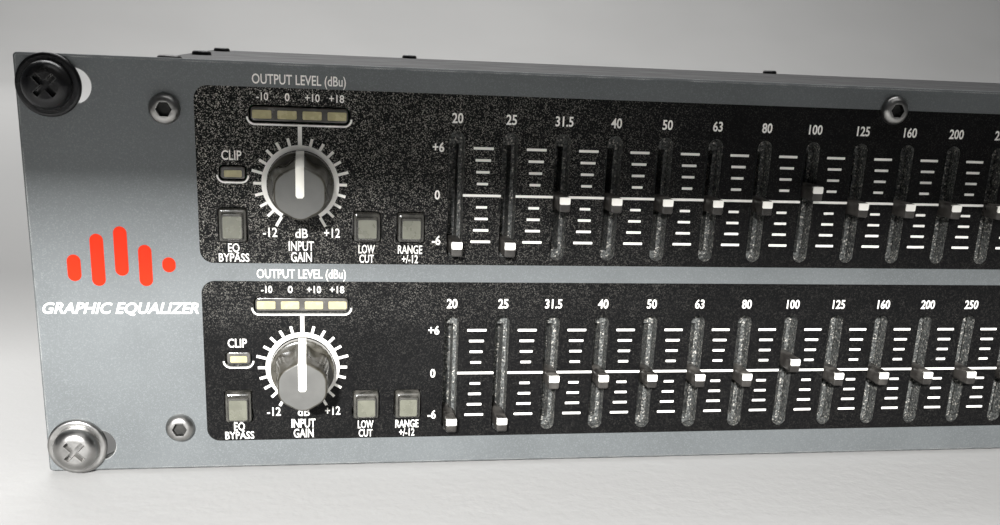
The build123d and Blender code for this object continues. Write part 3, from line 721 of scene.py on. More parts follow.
class EQ_OT_panel_print(bpy.types.Operator):
    """Print the scales, numbers and legends in white on the front panel"""

    bl_idname = "eq.panel_print"
    bl_label = "Panel print"

    # Widths of the zero mark and of the marks one to four steps from it, in millimetres.
    MARK_WIDTHS = (8.4, 2.45, 2.95, 3.4, 4.4)
    MARK_CORNER = 0.12 * MM
    NUMBER_ABOVE_ZERO = 16.24 * MM
    NUMBER_HEIGHT = 2.0 * MM
    RANGE_HEIGHT = 1.9 * MM
    RANGE_ASIDE = 3.95 * MM
    RANGE_MARKS = (("+6", 10.1 * MM), ("0", 0.0), ("-6", -9.9 * MM))

    # The gain scale's ring, the foot of its ticks, and how far its three kinds of tick reach.
    RING_INNER = 7.0 * MM
    RING_OUTER = 8.05 * MM
    TICK_FOOT = 8.06 * MM
    TICK_REACH = 9.7 * MM
    LONG_TICK_REACH = 10.3 * MM
    ZERO_TICK_REACH = 11.83 * MM
    TICK_HALF = 0.3 * MM
    ZERO_TICK_HALF = 0.42 * MM

    CRADLE_GAP = 0.42 * MM
    CRADLE_LINE = 0.38 * MM
    CRADLE_CORNER = 0.9 * MM

    def execute(self, context):
        look = context.scene.eq_panel
        mesh = bmesh.new()
        for channel, zero in enumerate(ZEROS):
            self.fader_scales(mesh, zero, look)
            self.gain_scale(mesh, KNOBS[channel])
            self.legends(mesh, channel, zero)
        split_wide_faces(mesh)
        ink = finish(
            "white_ink", look.ink, 0.5, contrast=0.06, grain_size=0.0002, grain_depth=0.000006,
            rough_spread=0.2,
        )
        piece("white_print", mesh, FRONT_SHEET, BODY, "panel_paint", ink)
        return {"FINISHED"}

    def fader_scales(self, mesh, zero, look):
        """Marks between the slots, and each band's number above its slot."""
        xs = [middle(name).x for name in FADERS]
        for x, after in zip(xs, xs[1:]):
            for step in range(-4, 5):
                width = self.MARK_WIDTHS[abs(step)] * MM
                centre = ((x + after) / 2, zero + step * look.mark_step)
                outline = rounded(width, look.mark_height, self.MARK_CORNER, centre, 2)
                prism(mesh, outline, FILM, FILM + INK)
        above = zero + self.NUMBER_ABOVE_ZERO
        for name, x in zip(FADERS, xs):
            words = name.split("_")[1:]
            number = ".".join(words[:-1]) + ("k" if words[-1] == "khz" else "")
            write(mesh, number, x, above, self.NUMBER_HEIGHT, FILM, bold=0.02, narrow=0.83)
        for end, outward in ((xs[0], -1), (xs[-1], 1)):
            x = end + outward * self.RANGE_ASIDE
            for text, height in self.RANGE_MARKS:
                write(mesh, text, x, zero + height, self.RANGE_HEIGHT, FILM, bold=0.02)

    def gain_scale(self, mesh, knob):
        """The ring round a gain knob, with a tick for each step."""
        centre = (knob.x, knob.z)
        ring = arc_band(centre, self.RING_INNER, self.RING_OUTER, -150, 150, 100)
        prism(mesh, ring, FILM, FILM + INK)
        for step in range(-10, 11):
            angle = radians(15 * step)
            reach = self.LONG_TICK_REACH if abs(step) in (5, 10) else self.TICK_REACH
            half = self.TICK_HALF
            if step == 0:
                reach = self.ZERO_TICK_REACH
                half = self.ZERO_TICK_HALF
            out = Vector((sin(angle), cos(angle)))
            side = Vector((cos(angle), -sin(angle))) * half
            foot = Vector(centre) + out * self.TICK_FOOT
            tip = Vector(centre) + out * reach
            outline = [foot + side, tip + side, tip - side, foot - side]
            prism(mesh, [tuple(point) for point in outline], FILM, FILM + INK)

    def legends(self, mesh, channel, zero):
        """Words and numbers around the gain knob, the buttons and the lights."""
        knob_x = KNOBS[channel].x / MM
        light_x = middle(f"eq_bypass_button_{channel + 1}").x / MM
        title = (knob_x * MM, zero + 22.75 * MM, 1.9 * MM, 0)
        write(mesh, "OUTPUT LEVEL (dBu)", *title, width=18.9 * MM)
        # Each word's place across, height above the zero line, size and width, in millimetres.
        words = [
            ("-10", knob_x - 7.46, 19.3, 1.5, 2.35),
            ("0", knob_x - 2.47, 19.3, 1.5, 1.0),
            ("+10", knob_x + 2.61, 19.3, 1.5, 3.0),
            ("+18", knob_x + 7.55, 19.3, 1.5, 3.1),
            ("-12", knob_x - 6.46, -8.6, 1.9, 3.0),
            ("dB", knob_x + 0.1, -8.75, 1.9, 2.65),
            ("+12", knob_x + 6.5, -8.6, 1.9, 3.4),
            ("INPUT", knob_x, -11.5, 2.0, 5.3),
            ("GAIN", knob_x, -13.85, 2.0, 4.4),
            ("CLIP", light_x + 0.1, 7.3, 1.9, 4.05),
        ]
        names = (
            ("eq_bypass", ("EQ", 2.35), ("BYPASS", 6.3)),
            ("low_cut", ("LOW", 3.5), ("CUT", 3.1)),
            ("range", ("RANGE", 5.3), ("+/-12", 3.5)),
        )
        for button, (upper, upper_width), (lower, lower_width) in names:
            x = middle(f"{button}_button_{channel + 1}").x / MM
            words.append((upper, x, -12.0, 1.8, upper_width))
            words.append((lower, x, -14.1, 1.7, lower_width))
        for text, x, above_zero, size, width in words:
            place = (x * MM, zero + above_zero * MM, size * MM, FILM)
            write(mesh, text, *place, width=width * MM)
        meter = (knob_x * MM, zero + METER_ABOVE_ZERO)
        clip = (light_x * MM + CLIP_ASIDE, zero + CLIP_ABOVE_ZERO)
        self.cradle(mesh, meter, METER_WIDTH, METER_HEIGHT)
        self.cradle(mesh, clip, CLIP_WIDTH, CLIP_HEIGHT)

    def cradle(self, mesh, centre, width, height):
        """A thin line round the lower half of a light's opening."""
        steps = 6
        lower_half = 2 * (steps + 1)
        near = self.CRADLE_GAP
        outer, inner = (
            rounded(width + 2 * out, height + 2 * out, self.CRADLE_CORNER + out, centre, steps)
            for out in (near + self.CRADLE_LINE, near)
        )
        line = outer[lower_half:] + inner[lower_half:][::-1]
        prism(mesh, line, FILM, FILM + INK)


class EQ_OT_emblem(bpy.types.Operator):
    """Print a plain emblem of five level bars and a caption on the left ear"""

    bl_idname = "eq.emblem"
    bl_label = "Emblem"

    # Each bar's lower and upper end from the panel's middle, in millimetres.
    BARS = ((-1.4, 4.2), (-2.4, 8.6), (-0.2, 10.2), (-2.4, 6.4), (0.6, 3.8))
    BAR_WIDTH = 2.7 * MM
    BAR_PITCH = 4.75 * MM
    FROM_LEFT_END = 17.9 * MM

    def execute(self, context):
        look = context.scene.eq_panel
        centre_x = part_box("front_panel")[0].x + self.FROM_LEFT_END
        panel_middle = (PANEL_BOTTOM + PANEL_TOP) / 2
        mesh = bmesh.new()
        for number, (low, high) in enumerate(self.BARS):
            centre = (
                centre_x + (number - 2) * self.BAR_PITCH,
                panel_middle + (low + high) / 2 * MM,
            )
            bar = rounded(self.BAR_WIDTH, (high - low) * MM, self.BAR_WIDTH / 2, centre)
            prism(mesh, bar, 0, 2 * INK)
        red = finish(
            "emblem_ink", look.emblem, 0.6, contrast=0.1, grain_size=0.0003, gloss_level=0.1
        )
        piece("level_emblem", mesh, FRONT_SHEET, BODY, "panel_paint", red)
        caption = bmesh.new()
        place = (centre_x - 0.6 * MM, panel_middle - 7.2 * MM, 2.3 * MM, 0)
        write(caption, "GRAPHIC EQUALIZER", *place, bold=0.02, slant=0.3, width=31.6 * MM)
        piece("caption", caption, FRONT_SHEET, BODY, "panel_paint", FINISHES["white_ink"])
        return {"FINISHED"}


class EQ_OT_faders(bpy.types.Operator):
    """Make each band's two levers: a black tab with a white index stripe on its upper half"""

    bl_idname = "eq.faders"
    bl_label = "Faders"

    HEIGHT = 3.3 * MM
    CORNER = 0.45 * MM
    STEM_WIDTH = 1.2 * MM
    STEM_HEIGHT = 2.2 * MM
    STRIPE_HEIGHT = 1.65 * MM
    STRIPE_ABOVE = 0.78 * MM
    STRIPE_SHORT = 0.04 * MM
    STRIPE_DEPTH = 0.6 * MM

    def execute(self, context):
        look = context.scene.eq_controls
        black = finish(
            "lever_black", look.lever, 0.32, contrast=0.3, dusty=0.35, grain_size=0.0005,
            grain_depth=0.00002,
        )
        white = finish("lever_white", look.index, 0.4, contrast=0.05)
        for name in FADERS:
            low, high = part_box(name)
            mesh = bmesh.new()
            for z in (high.z - self.HEIGHT / 2, low.z + self.HEIGHT / 2):
                centre = ((low.x + high.x) / 2, z)
                self.lever(mesh, centre, high.x - low.x, FACE - high.y, FACE - low.y)
            label = name.replace("fader", "lever")
            made = piece(
                label, mesh, FRONT_SHEET, name, "lever_plastic", black, white, smooth=True
            )
            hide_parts(name)
        return {"FINISHED"}

    def lever(self, mesh, centre, width, stem_end, front):
        """A rounded tab on its stem, with an index stripe let into the tab's front."""
        back = FACE - PANEL_BACK
        profile = (
            (back, 0),
            (front - 0.33 * MM, 0),
            (front - 0.12 * MM, 0.1 * MM),
            (front - 0.05 * MM, 0.3 * MM),
        )
        stepped(mesh, centre, width, self.HEIGHT, self.CORNER, profile, 5)
        stem = rounded(self.STEM_WIDTH, self.STEM_HEIGHT, 0.2 * MM, centre, 2)
        prism(mesh, stem, stem_end, back + 0.01 * MM)
        middle_of_stripe = (centre[0], centre[1] + self.STRIPE_ABOVE)
        stripe = rounded(
            width - self.STRIPE_SHORT, self.STRIPE_HEIGHT, 0.3 * MM, middle_of_stripe, 4
        )
        for face in prism(mesh, stripe, front - self.STRIPE_DEPTH, front, 0.06 * MM):
            face.material_index = 1


class EQ_OT_gain_knobs(bpy.types.Operator):
    """Make the gain knobs: a round skirt, a fluted smoky body, a matt face and a raised pointer"""

    bl_idname = "eq.gain_knobs"
    bl_label = "Gain knobs"

    STEPS = 144
    FLUTES = 6
    POINTER_LIFT = 0.1 * MM
    POINTER_HALF = 0.84 * MM
    EDGE = 0.45 * MM
    SKIRT_RADIUS = 6.9 * MM
    SHAFT_RADIUS = 3.0 * MM

    # The skirt's outline: how far it stands out of the panel's face, and its radius there, in mm.
    SKIRT = ((0.6, 6.6), (0.62, 6.85), (0.8, 6.9), (2.7, 6.9), (3.05, 6.8), (3.2, 6.5))

    # The body above the skirt: where it starts, and its radius and flutes at the foot and tip.
    FOOT = 3.2 * MM
    FOOT_RADIUS = 6.35 * MM
    TAPER = 1.05 * MM
    FLUTE_DEPTH = 1.0 * MM
    FLUTE_LOSS = 0.78

    def execute(self, context):
        look = context.scene.eq_controls
        smoky = finish(
            "knob_smoke", look.knob, 0.3, contrast=0.3, mottle_size=0.005, coat=0.1, dusty=0.25,
            dust_size=0.002, grain_size=0.0006, grain_depth=0.000006,
        )
        matt = finish(
            "knob_face", look.knob_face, 0.62, contrast=0.12, mottle_size=0.004,
            grain_size=0.00035, grain_depth=0.00002,
        )
        white = finish("pointer_white", look.pointer, 0.42, contrast=0.05)
        for number, centre in enumerate(KNOBS, 1):
            name = f"gain_knob_{number}"
            low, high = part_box(name)
            mesh = self.body(centre, FACE - low.y - self.POINTER_LIFT, FACE - high.y)
            finishes = (smoky, matt, white)
            made = piece(
                f"knob_{number}", mesh, FRONT_SHEET, name, "knob_plastic", *finishes, smooth=True
            )
            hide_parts(name)
        return {"FINISHED"}

    def radius(self, proud, angle, tip):
        """Radius of the fluted body at this height and angle from straight up."""
        up = (proud - self.FOOT) / (tip - self.FOOT)
        between = 0.5 - 0.5 * cos(self.FLUTES * angle)
        dip = (self.FLUTE_DEPTH - self.FLUTE_LOSS * self.FLUTE_DEPTH * up) * between**1.3
        return self.FOOT_RADIUS - self.TAPER * up - dip

    def ring(self, centre, proud, radii):
        """A ring of points at this height, one for each radius, anticlockwise."""
        turns = [-2 * pi * number / len(radii) for number in range(len(radii))]
        return [
            (centre.x + radius * sin(turn), centre.z + radius * cos(turn), proud)
            for radius, turn in zip(radii, turns)
        ]

    def body(self, centre, tip, back):
        """The whole knob with its shaft, from behind the panel to the pointer."""
        mesh = bmesh.new()
        angles = [2 * pi * n / self.STEPS for n in range(self.STEPS)]
        rings = []
        for proud, radius in self.SKIRT:
            rings.append(self.ring(centre, proud * MM, [radius * MM] * self.STEPS))
        shoulder = tip - self.EDGE
        start = self.FOOT + 0.02 * MM
        for step in range(9):
            proud = start + (shoulder - start) * step / 8
            rings.append(self.ring(centre, proud, [self.radius(proud, a, tip) for a in angles]))
        top_radii = [self.radius(shoulder, a, tip) for a in angles]
        for turn in (25, 50, 75, 90):
            proud = shoulder + self.EDGE * sin(radians(turn))
            inset = self.EDGE * (1 - cos(radians(turn)))
            rings.append(self.ring(centre, proud, [radius - inset for radius in top_radii]))
        for face in loft(mesh, rings):
            if face.calc_center_median().z > tip - self.EDGE * 0.12:
                face.material_index = 1
        disc_low = [radius - 0.75 * MM for radius in top_radii]
        disc_high = [radius - 0.12 * MM for radius in disc_low]
        disc = (
            self.ring(centre, tip - 0.15 * MM, disc_low),
            self.ring(centre, tip - 0.01 * MM, disc_high),
        )
        for face in loft(mesh, disc):
            face.material_index = 1
        shaft = [
            (centre.x + self.SHAFT_RADIUS * cos(a), centre.z + self.SHAFT_RADIUS * sin(a))
            for a in angles[::4]
        ]
        loft(mesh, [[(x, z, depth) for x, z in shaft] for depth in (back, 0.62 * MM)])
        for face in self.pointer(mesh, centre, tip):
            face.material_index = 2
        return mesh

    def pointer(self, mesh, centre, tip):
        """A raised bar from the skirt, up the top ridge and over the face past its middle."""
        edge = self.EDGE
        ridge_low = self.radius(3.3 * MM, 0, tip)
        ridge_high = self.radius(tip - edge, 0, tip)
        path = [
            (self.SKIRT_RADIUS, 0.75 * MM),
            (self.SKIRT_RADIUS, 2.7 * MM),
            (self.SKIRT_RADIUS - 0.15 * MM, 3.1 * MM),
            (ridge_low + 0.1 * MM, 3.25 * MM),
            (ridge_low, 3.6 * MM),
            (ridge_high, tip - edge),
            (ridge_high - 0.15 * MM, tip - 0.12 * MM),
            (ridge_high - edge, tip),
            (0.0, tip),
            (-0.5 * MM, tip),
        ]
        half = self.POINTER_HALF
        slim = half - 0.12 * MM
        rings = []
        for number, (out, proud) in enumerate(path):
            before = path[max(number - 1, 0)]
            after = path[min(number + 1, len(path) - 1)]
            run = Vector((after[0] - before[0], after[1] - before[1])).normalized()
            normal = Vector((run.y, -run.x))
            if normal.x < 0 and normal.y <= 0:
                normal = -normal
            top = Vector((out, proud)) + normal * self.POINTER_LIFT
            deep = Vector((out, proud)) - normal * 0.3 * MM
            side = (top + Vector((out, proud))) / 2
            right = ((half, deep), (half, side), (slim, top))
            around = [(-half, deep), *right, (-slim, top), (-half, side)]
            rings.append([(centre.x + across, centre.z + at.x, at.y) for across, at in around])
        blunt = [(centre.x + (x - centre.x) * 0.6, z - 0.42 * MM, y) for x, z, y in rings[-1]]
        return loft(mesh, [*rings, blunt])


class EQ_OT_push_buttons(bpy.types.Operator):
    """Make the push buttons: a smoky stepped shell round a pale square window"""

    bl_idname = "eq.push_buttons"
    bl_label = "Push buttons"

    LIP = 0.7 * MM
    LIP_THICKNESS = 0.6 * MM
    BEHIND_PANEL = 0.4 * MM
    CORNER = 0.45 * MM
    PLUNGER = 3.0 * MM

    def execute(self, context):
        look = context.scene.eq_controls
        smoky = finish(
            "button_smoke", look.button, 0.2, contrast=0.2, coat=0.5, dusty=0.3, dust_size=0.002,
            grain_size=0.0005, grain_depth=0.000008,
        )
        pale = finish(
            "button_lens", look.lens, 0.28, contrast=0.12, mottle_size=0.003, coat=0.3,
            grain_size=0.0005, grain_depth=0.000008,
        )
        for name in BUTTONS:
            mesh = self.cap(*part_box(name))
            label = name.replace("button", "cap")
            made = piece(
                label, mesh, FRONT_SHEET, name, "button_plastic", smoky, pale, smooth=True
            )
            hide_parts(name)
        return {"FINISHED"}

    def cap(self, low, high):
        """A stepped shell with its window, the flange that holds it in, and its plunger."""
        wide = high.x - low.x
        tall = high.z - low.z
        width = wide - 2 * self.LIP
        height = tall - 2 * self.LIP
        centre = ((low.x + high.x) / 2, (low.z + high.z) / 2)
        front = FACE - low.y
        flange_front = FACE - PANEL_BACK - self.BEHIND_PANEL
        mesh = bmesh.new()
        profile = (
            (flange_front, 0.0),
            (1.35 * MM, 0.0),
            (1.62 * MM, 0.12 * MM),
            (1.7 * MM, 0.38 * MM),
            (1.78 * MM, 0.52 * MM),
            (front - 0.35 * MM, 0.62 * MM),
            (front - 0.12 * MM, 0.74 * MM),
            (front - 0.08 * MM, 0.95 * MM),
        )
        stepped(mesh, centre, width, height, self.CORNER, profile, 5)
        window_middle = (centre[0], centre[1] - 0.1 * MM)
        window = rounded(width - 1.6 * MM, height - 1.9 * MM, 0.35 * MM, window_middle, 4)
        for face in prism(mesh, window, front - 0.5 * MM, front, 0.15 * MM):
            face.material_index = 1
        flange = rounded(wide, tall, 0.2 * MM, centre, 2)
        prism(mesh, flange, flange_front - self.LIP_THICKNESS, flange_front)
        plunger = rounded(self.PLUNGER, self.PLUNGER, 0.2 * MM, centre, 2)
        prism(mesh, plunger, FACE - high.y, flange_front - self.LIP_THICKNESS + 0.05 * MM)
        return mesh


class EQ_OT_lights(bpy.types.Operator):
    """Make the level bars with their four windows, and the clip lights"""

    bl_idname = "eq.lights"
    bl_label = "Lights"

    WINDOW_PITCH = 5.1 * MM
    METER_WINDOW = (4.1 * MM, 1.8 * MM)
    CLIP_WINDOW = (3.8 * MM, 1.5 * MM)

    def execute(self, context):
        look = context.scene.eq_controls
        block = finish(
            "light_block", look.light_bar, 0.22, contrast=0.2, mottle_size=0.003, coat=0.5,
            grain_size=0.0006,
        )
        yellow = finish(
            "light_window", look.lamp, 0.25, contrast=0.15, mottle_size=0.002, coat=0.4,
            grain_size=0.0005,
        )
        low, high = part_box("indicator_lights")
        front = FACE - low.y
        profile = (
            (FACE - high.y, 0),
            (front - 0.35 * MM, 0),
            (front - 0.15 * MM, 0.08 * MM),
            (front - 0.08 * MM, 0.25 * MM),
        )
        mesh = bmesh.new()
        for channel, zero in enumerate(ZEROS):
            x = KNOBS[channel].x
            z = zero + METER_ABOVE_ZERO
            stepped(mesh, (x, z), METER_WIDTH, METER_HEIGHT, 0.9 * MM, profile, 6)
            for step in range(4):
                place = (x + (step - 1.5) * self.WINDOW_PITCH, z - 0.12 * MM)
                self.window(mesh, place, self.METER_WINDOW, front)
            x = middle(f"eq_bypass_button_{channel + 1}").x + CLIP_ASIDE
            z = zero + CLIP_ABOVE_ZERO
            stepped(mesh, (x, z), CLIP_WIDTH, CLIP_HEIGHT, 0.6 * MM, profile, 6)
            self.window(mesh, (x, z - 0.2 * MM), self.CLIP_WINDOW, front)
        made = piece(
            "light_bars", mesh, FRONT_SHEET, BODY, "light_bar", block, yellow, smooth=True
        )
        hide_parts("indicator_lights")
        return {"FINISHED"}

    def window(self, mesh, centre, size, front):
        """One pale window, a little proud of its block."""
        outline = rounded(*size, 0.25 * MM, centre, 3)
        for face in prism(mesh, outline, front - 0.4 * MM, front, 0.12 * MM):
            face.material_index = 1


class EQ_OT_fasteners(bpy.types.Operator):
    """Finish the rack screws and washers, the panel screws and the small screws"""

    bl_idname = "eq.fasteners"
    bl_label = "Fasteners"

    SOCKET_REACH = 1.58 * MM
    SOCKET_RIM = 0.15 * MM

    def execute(self, context):
        black = finish(
            "black_zinc", (0.008, 0.008, 0.009), 0.3, 0.4, wear=0.8, bare=(0.22, 0.22, 0.21),
            dusty=0.1, grain_size=0.0006, grain_depth=0.00003,
        )
        nickel = finish(
            "nickel_plate", (0.30, 0.295, 0.285), 0.34, 1.0, contrast=0.2, mottle_size=0.004,
            dusty=0.1, grain_size=0.0007, grain_depth=0.00002, wear=0.4, bare=(0.7, 0.69, 0.67),
        )
        middle_z = (PANEL_BOTTOM + PANEL_TOP) / 2

        def is_low(centre, normal):
            return centre.z < middle_z

        dress("rack_screws", black, (nickel, is_low))
        dress("rack_washers", black, (nickel, is_low))
        # The panel screws' sockets get a near-black colour with a little dust: painted shade
        # inside the recesses.
        socket_shade = finish(
            "socket_painted_shade", (0.010, 0.010, 0.009), 0.6, 0.3, contrast=0.5, mottle_size=0.001,
            grain_size=0.0003, grain_depth=0.00004, dusty=0.2,
        )
        socket_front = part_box("panel_screws")[0].y + self.SOCKET_RIM
        screws = solid_middles("panel_screws")

        def is_socket(centre, normal):
            away = min(hypot(centre.x - at.x, centre.z - at.z) for at in screws)
            return away < self.SOCKET_REACH and socket_front < centre.y < FACE

        dress("panel_screws", nickel, (socket_shade, is_socket))
        dress("small_screws", black)
        return {"FINISHED"}


class EQ_OT_chassis(bpy.types.Operator):
    """Finish the chassis tray and its cover in black powder coat"""

    bl_idname = "eq.chassis"
    bl_label = "Chassis"

    def execute(self, context):
        coat = finish(
            "powder_coat", (0.014, 0.014, 0.015), 0.5, contrast=0.2, wear=0.25,
            wear_reach=0.0003, bare=(0.2, 0.2, 0.19), dusty=0.04, dust_size=0.004,
            grain_size=0.0011, grain_depth=0.00006,
        )
        dress("chassis_tray", coat)
        dress("top_cover", coat)
        return {"FINISHED"}


def socket_line():
    """Where the middles of the four round sockets are across the rear."""
    low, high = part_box("xlr_sockets")
    flange_half = 13.0 * MM
    first = low.x + flange_half
    last = high.x - flange_half
    return [first + (last - first) * number / 3 for number in range(4)]


class EQ_OT_rear_sockets(bpy.types.Operator):
    """Finish the rear sockets, the mains inlet and the power switch"""

    bl_idname = "eq.rear_sockets"
    bl_label = "Rear sockets"

    # The bottom of the sockets' cavities, from the wall's rear face, and their contacts' circle.
    CAVITY_FLOOR = 12.0 * MM
    CONTACT_CIRCLE = 4.7 * MM
    CONTACT_REACH = 1.35 * MM
    FLANGE_STANDS_OUT = 1.9 * MM

    def execute(self, context):
        cast = finish(
            "black_die_cast", (0.035, 0.035, 0.037), 0.38, 0.5, wear=0.5,
            bare=(0.4, 0.4, 0.39), dusty=0.1, grain_size=0.0007, grain_depth=0.00003,
        )
        moulded = finish(
            "black_moulded", (0.016, 0.016, 0.017), 0.42, dusty=0.12, grain_size=0.0005,
            grain_depth=0.00002,
        )
        glossy = finish(
            "black_glossy", (0.012, 0.012, 0.013), 0.14, coat=0.4, grain_size=0.0008,
            grain_depth=0.000004,
        )
        contact = finish(
            "contact_silver", (0.72, 0.70, 0.64), 0.25, 1.0, contrast=0.1, grain_depth=0.000005
        )
        floor_y = REAR - self.CAVITY_FLOOR
        circle = self.CONTACT_CIRCLE
        places = [
            (x + away, middle("xlr_sockets").z + up)
            for x in socket_line()
            for away, up in ((-circle, 0), (circle, 0), (0, -circle))
        ]
        jack_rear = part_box("jack_sockets")[1].y
        inlet = middle("mains_inlet")

        def is_contact(centre, normal):
            away = min(hypot(centre.x - x, centre.z - z) for x, z in places)
            deep = floor_y - 0.1 * MM <= centre.y <= REAR + self.FLANGE_STANDS_OUT
            return deep and away < self.CONTACT_REACH

        def is_nut(centre, normal):
            return REAR - 0.1 * MM < centre.y < jack_rear + MM

        def is_blade(centre, normal):
            inside = abs(centre.x - inlet.x) < 8.2 * MM and abs(centre.z - inlet.z) < 4.2 * MM
            return inside and REAR - 15.2 * MM < centre.y < REAR - 0.5 * MM

        dress("xlr_sockets", cast, (contact, is_contact))
        dress("jack_sockets", moulded, (FINISHES["nickel_plate"], is_nut))
        dress("mains_inlet", moulded, (contact, is_blade))
        dress("switch_frame", moulded)
        dress("power_rocker", glossy)
        return {"FINISHED"}


class EQ_OT_rear_print(bpy.types.Operator):
    """Print plain legends over the rear sockets and the power switch"""

    bl_idname = "eq.rear_print"
    bl_label = "Rear print"

    WORD_ABOVE = 5.0 * MM
    WORD_HEIGHT = 2.6 * MM
    CHANNEL_ABOVE = 12.0 * MM
    CHANNEL_HEIGHT = 3.2 * MM
    BAR_LENGTH = 15.0 * MM
    BAR_ASIDE = 16.0 * MM

    def execute(self, context):
        mesh = bmesh.new()
        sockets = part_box("xlr_sockets")
        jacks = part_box("jack_sockets")
        first = socket_line()[0]
        pitch = (jacks[0].x + jacks[1].x - sockets[0].x - sockets[1].x) / 2
        top = sockets[1].z
        line = top + self.WORD_ABOVE
        for channel in range(2):
            start = first + channel * 4 * pitch
            for number, text in ((0.5, "INPUT"), (2.5, "OUTPUT")):
                x = -(start + number * pitch)
                write(mesh, text, x, line, self.WORD_HEIGHT, 0, bold=0.015)
                for side in (-1, 1):
                    centre = (x + side * self.BAR_ASIDE, line)
                    bar = rounded(self.BAR_LENGTH, 0.4 * MM, 0.1 * MM, centre, 2)
                    prism(mesh, bar, 0, INK)
            x = -(start + 1.5 * pitch)
            above = top + self.CHANNEL_ABOVE
            write(mesh, f"CHANNEL {channel + 1}", x, above, self.CHANNEL_HEIGHT, 0, bold=0.02)
        x = -middle("switch_frame").x
        write(mesh, "POWER", x, line, self.WORD_HEIGHT, 0, bold=0.015)
        split_wide_faces(mesh)
        piece("rear_print", mesh, REAR_SHEET, BODY, "chassis_paint", FINISHES["white_ink"])
        return {"FINISHED"}


class EQ_OT_electronics(bpy.types.Operator):
    """Finish the boards, potentiometers, switches, pillars, cable and transformer"""

    bl_idname = "eq.electronics"
    bl_label = "Electronics"
    BOARD_THICKNESS = 1.6 * MM
    PAD_THICKNESS = 1.6 * MM
    WINDING_HEIGHT = 34.2 * MM
    WIRE_PITCH = 1.27 * MM

    def execute(self, context):
        board = finish(
            "circuit_board", self.traces, 0.28, coat=0.3, grain_size=0.0008,
            grain_depth=0.00002, dusty=0.2,
        )
        chip = finish("chip_black", (0.02, 0.02, 0.021), 0.45, grain_size=0.0003, dusty=0.2)
        case = finish("fader_steel", gritty, 0.6, 0.3, grain_size=0.0006, grain_depth=0.00008)
        tape = finish(
            "winding_tape", self.wound_tape, 0.35, coat=0.3, grain_size=0.002, grain_depth=0.0001
        )
        nylon = finish(
            "nylon", (0.62, 0.61, 0.55), 0.45, contrast=0.08, grain_size=0.0006,
            grain_depth=0.00002,
        )
        ribbon = finish(
            "ribbon_grey", self.wires, 0.4, grain_size=0.0008, grain_depth=0.00002
        )
        nickel = FINISHES["nickel_plate"]
        above_board = self.BOARD_THICKNESS + 0.05 * MM
        parts_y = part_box("fader_housings")[1].y + above_board
        parts_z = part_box("rear_board")[0].z + above_board
        pad_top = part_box("transformer")[0].z + self.PAD_THICKNESS
        winding_top = pad_top + self.WINDING_HEIGHT
        dress("main_board", board, (chip, lambda centre, normal: centre.y > parts_y))
        dress("rear_board", board, (chip, lambda centre, normal: centre.z > parts_z))
        dress("fader_housings", case)
        dress("gain_pots", nickel)
        dress("button_switches", FINISHES["black_moulded"])
        dress("board_pillars", nylon)
        dress("ribbon_cable", ribbon)
        dress(
            "transformer",
            tape,
            (chip, lambda centre, normal: centre.z < pad_top),
            (nickel, lambda centre, normal: centre.z > winding_top),
        )
        return {"FINISHED"}

    def traces(self, tree):
        """Copper tracks that show through the green mask as slightly paler lines."""
        bricks = {
            "Vector": add(tree, "TexCoord").outputs["Object"],
            "Color1": (0.012, 0.085, 0.035, 1),
            "Color2": (0.02, 0.13, 0.055, 1),
            "Mortar": (0.05, 0.22, 0.10, 1),
            "Scale": 1 / (12 * MM),
            "Mortar Size": 0.03,
        }
        return add(tree, "TexBrick", bricks).outputs["Color"]

    def wires(self, tree):
        """The cable's wires, side by side."""
        turned = calc(tree, "MULTIPLY", place_parts(tree)["X"], 2 * pi / self.WIRE_PITCH)
        wave = calc(tree, "SINE", turned)
        between = spread(tree, wave, -0.6, 0.6)
        return mixed(tree, between, (0.22, 0.22, 0.24), (0.42, 0.42, 0.45))

    def wound_tape(self, tree):
        """Turns of tape laid round the winding like spokes."""
        turns = 40.0
        place = add(tree, "TexCoord").outputs["Object"]
        centre = tuple(middle("transformer"))
        from_middle = add(tree, "VectorMath", {0: place, 1: centre}, operation="SUBTRACT")
        parts = add(tree, "SeparateXYZ", {0: from_middle.outputs[0]}).outputs
        angle = calc(tree, "ARCTAN2", parts["Y"], parts["X"])
        wave = calc(tree, "SINE", calc(tree, "MULTIPLY", angle, turns))
        overlap = spread(tree, wave, -0.9, 1.0)
        return mixed(tree, overlap, (0.30, 0.18, 0.02), (0.60, 0.42, 0.08))


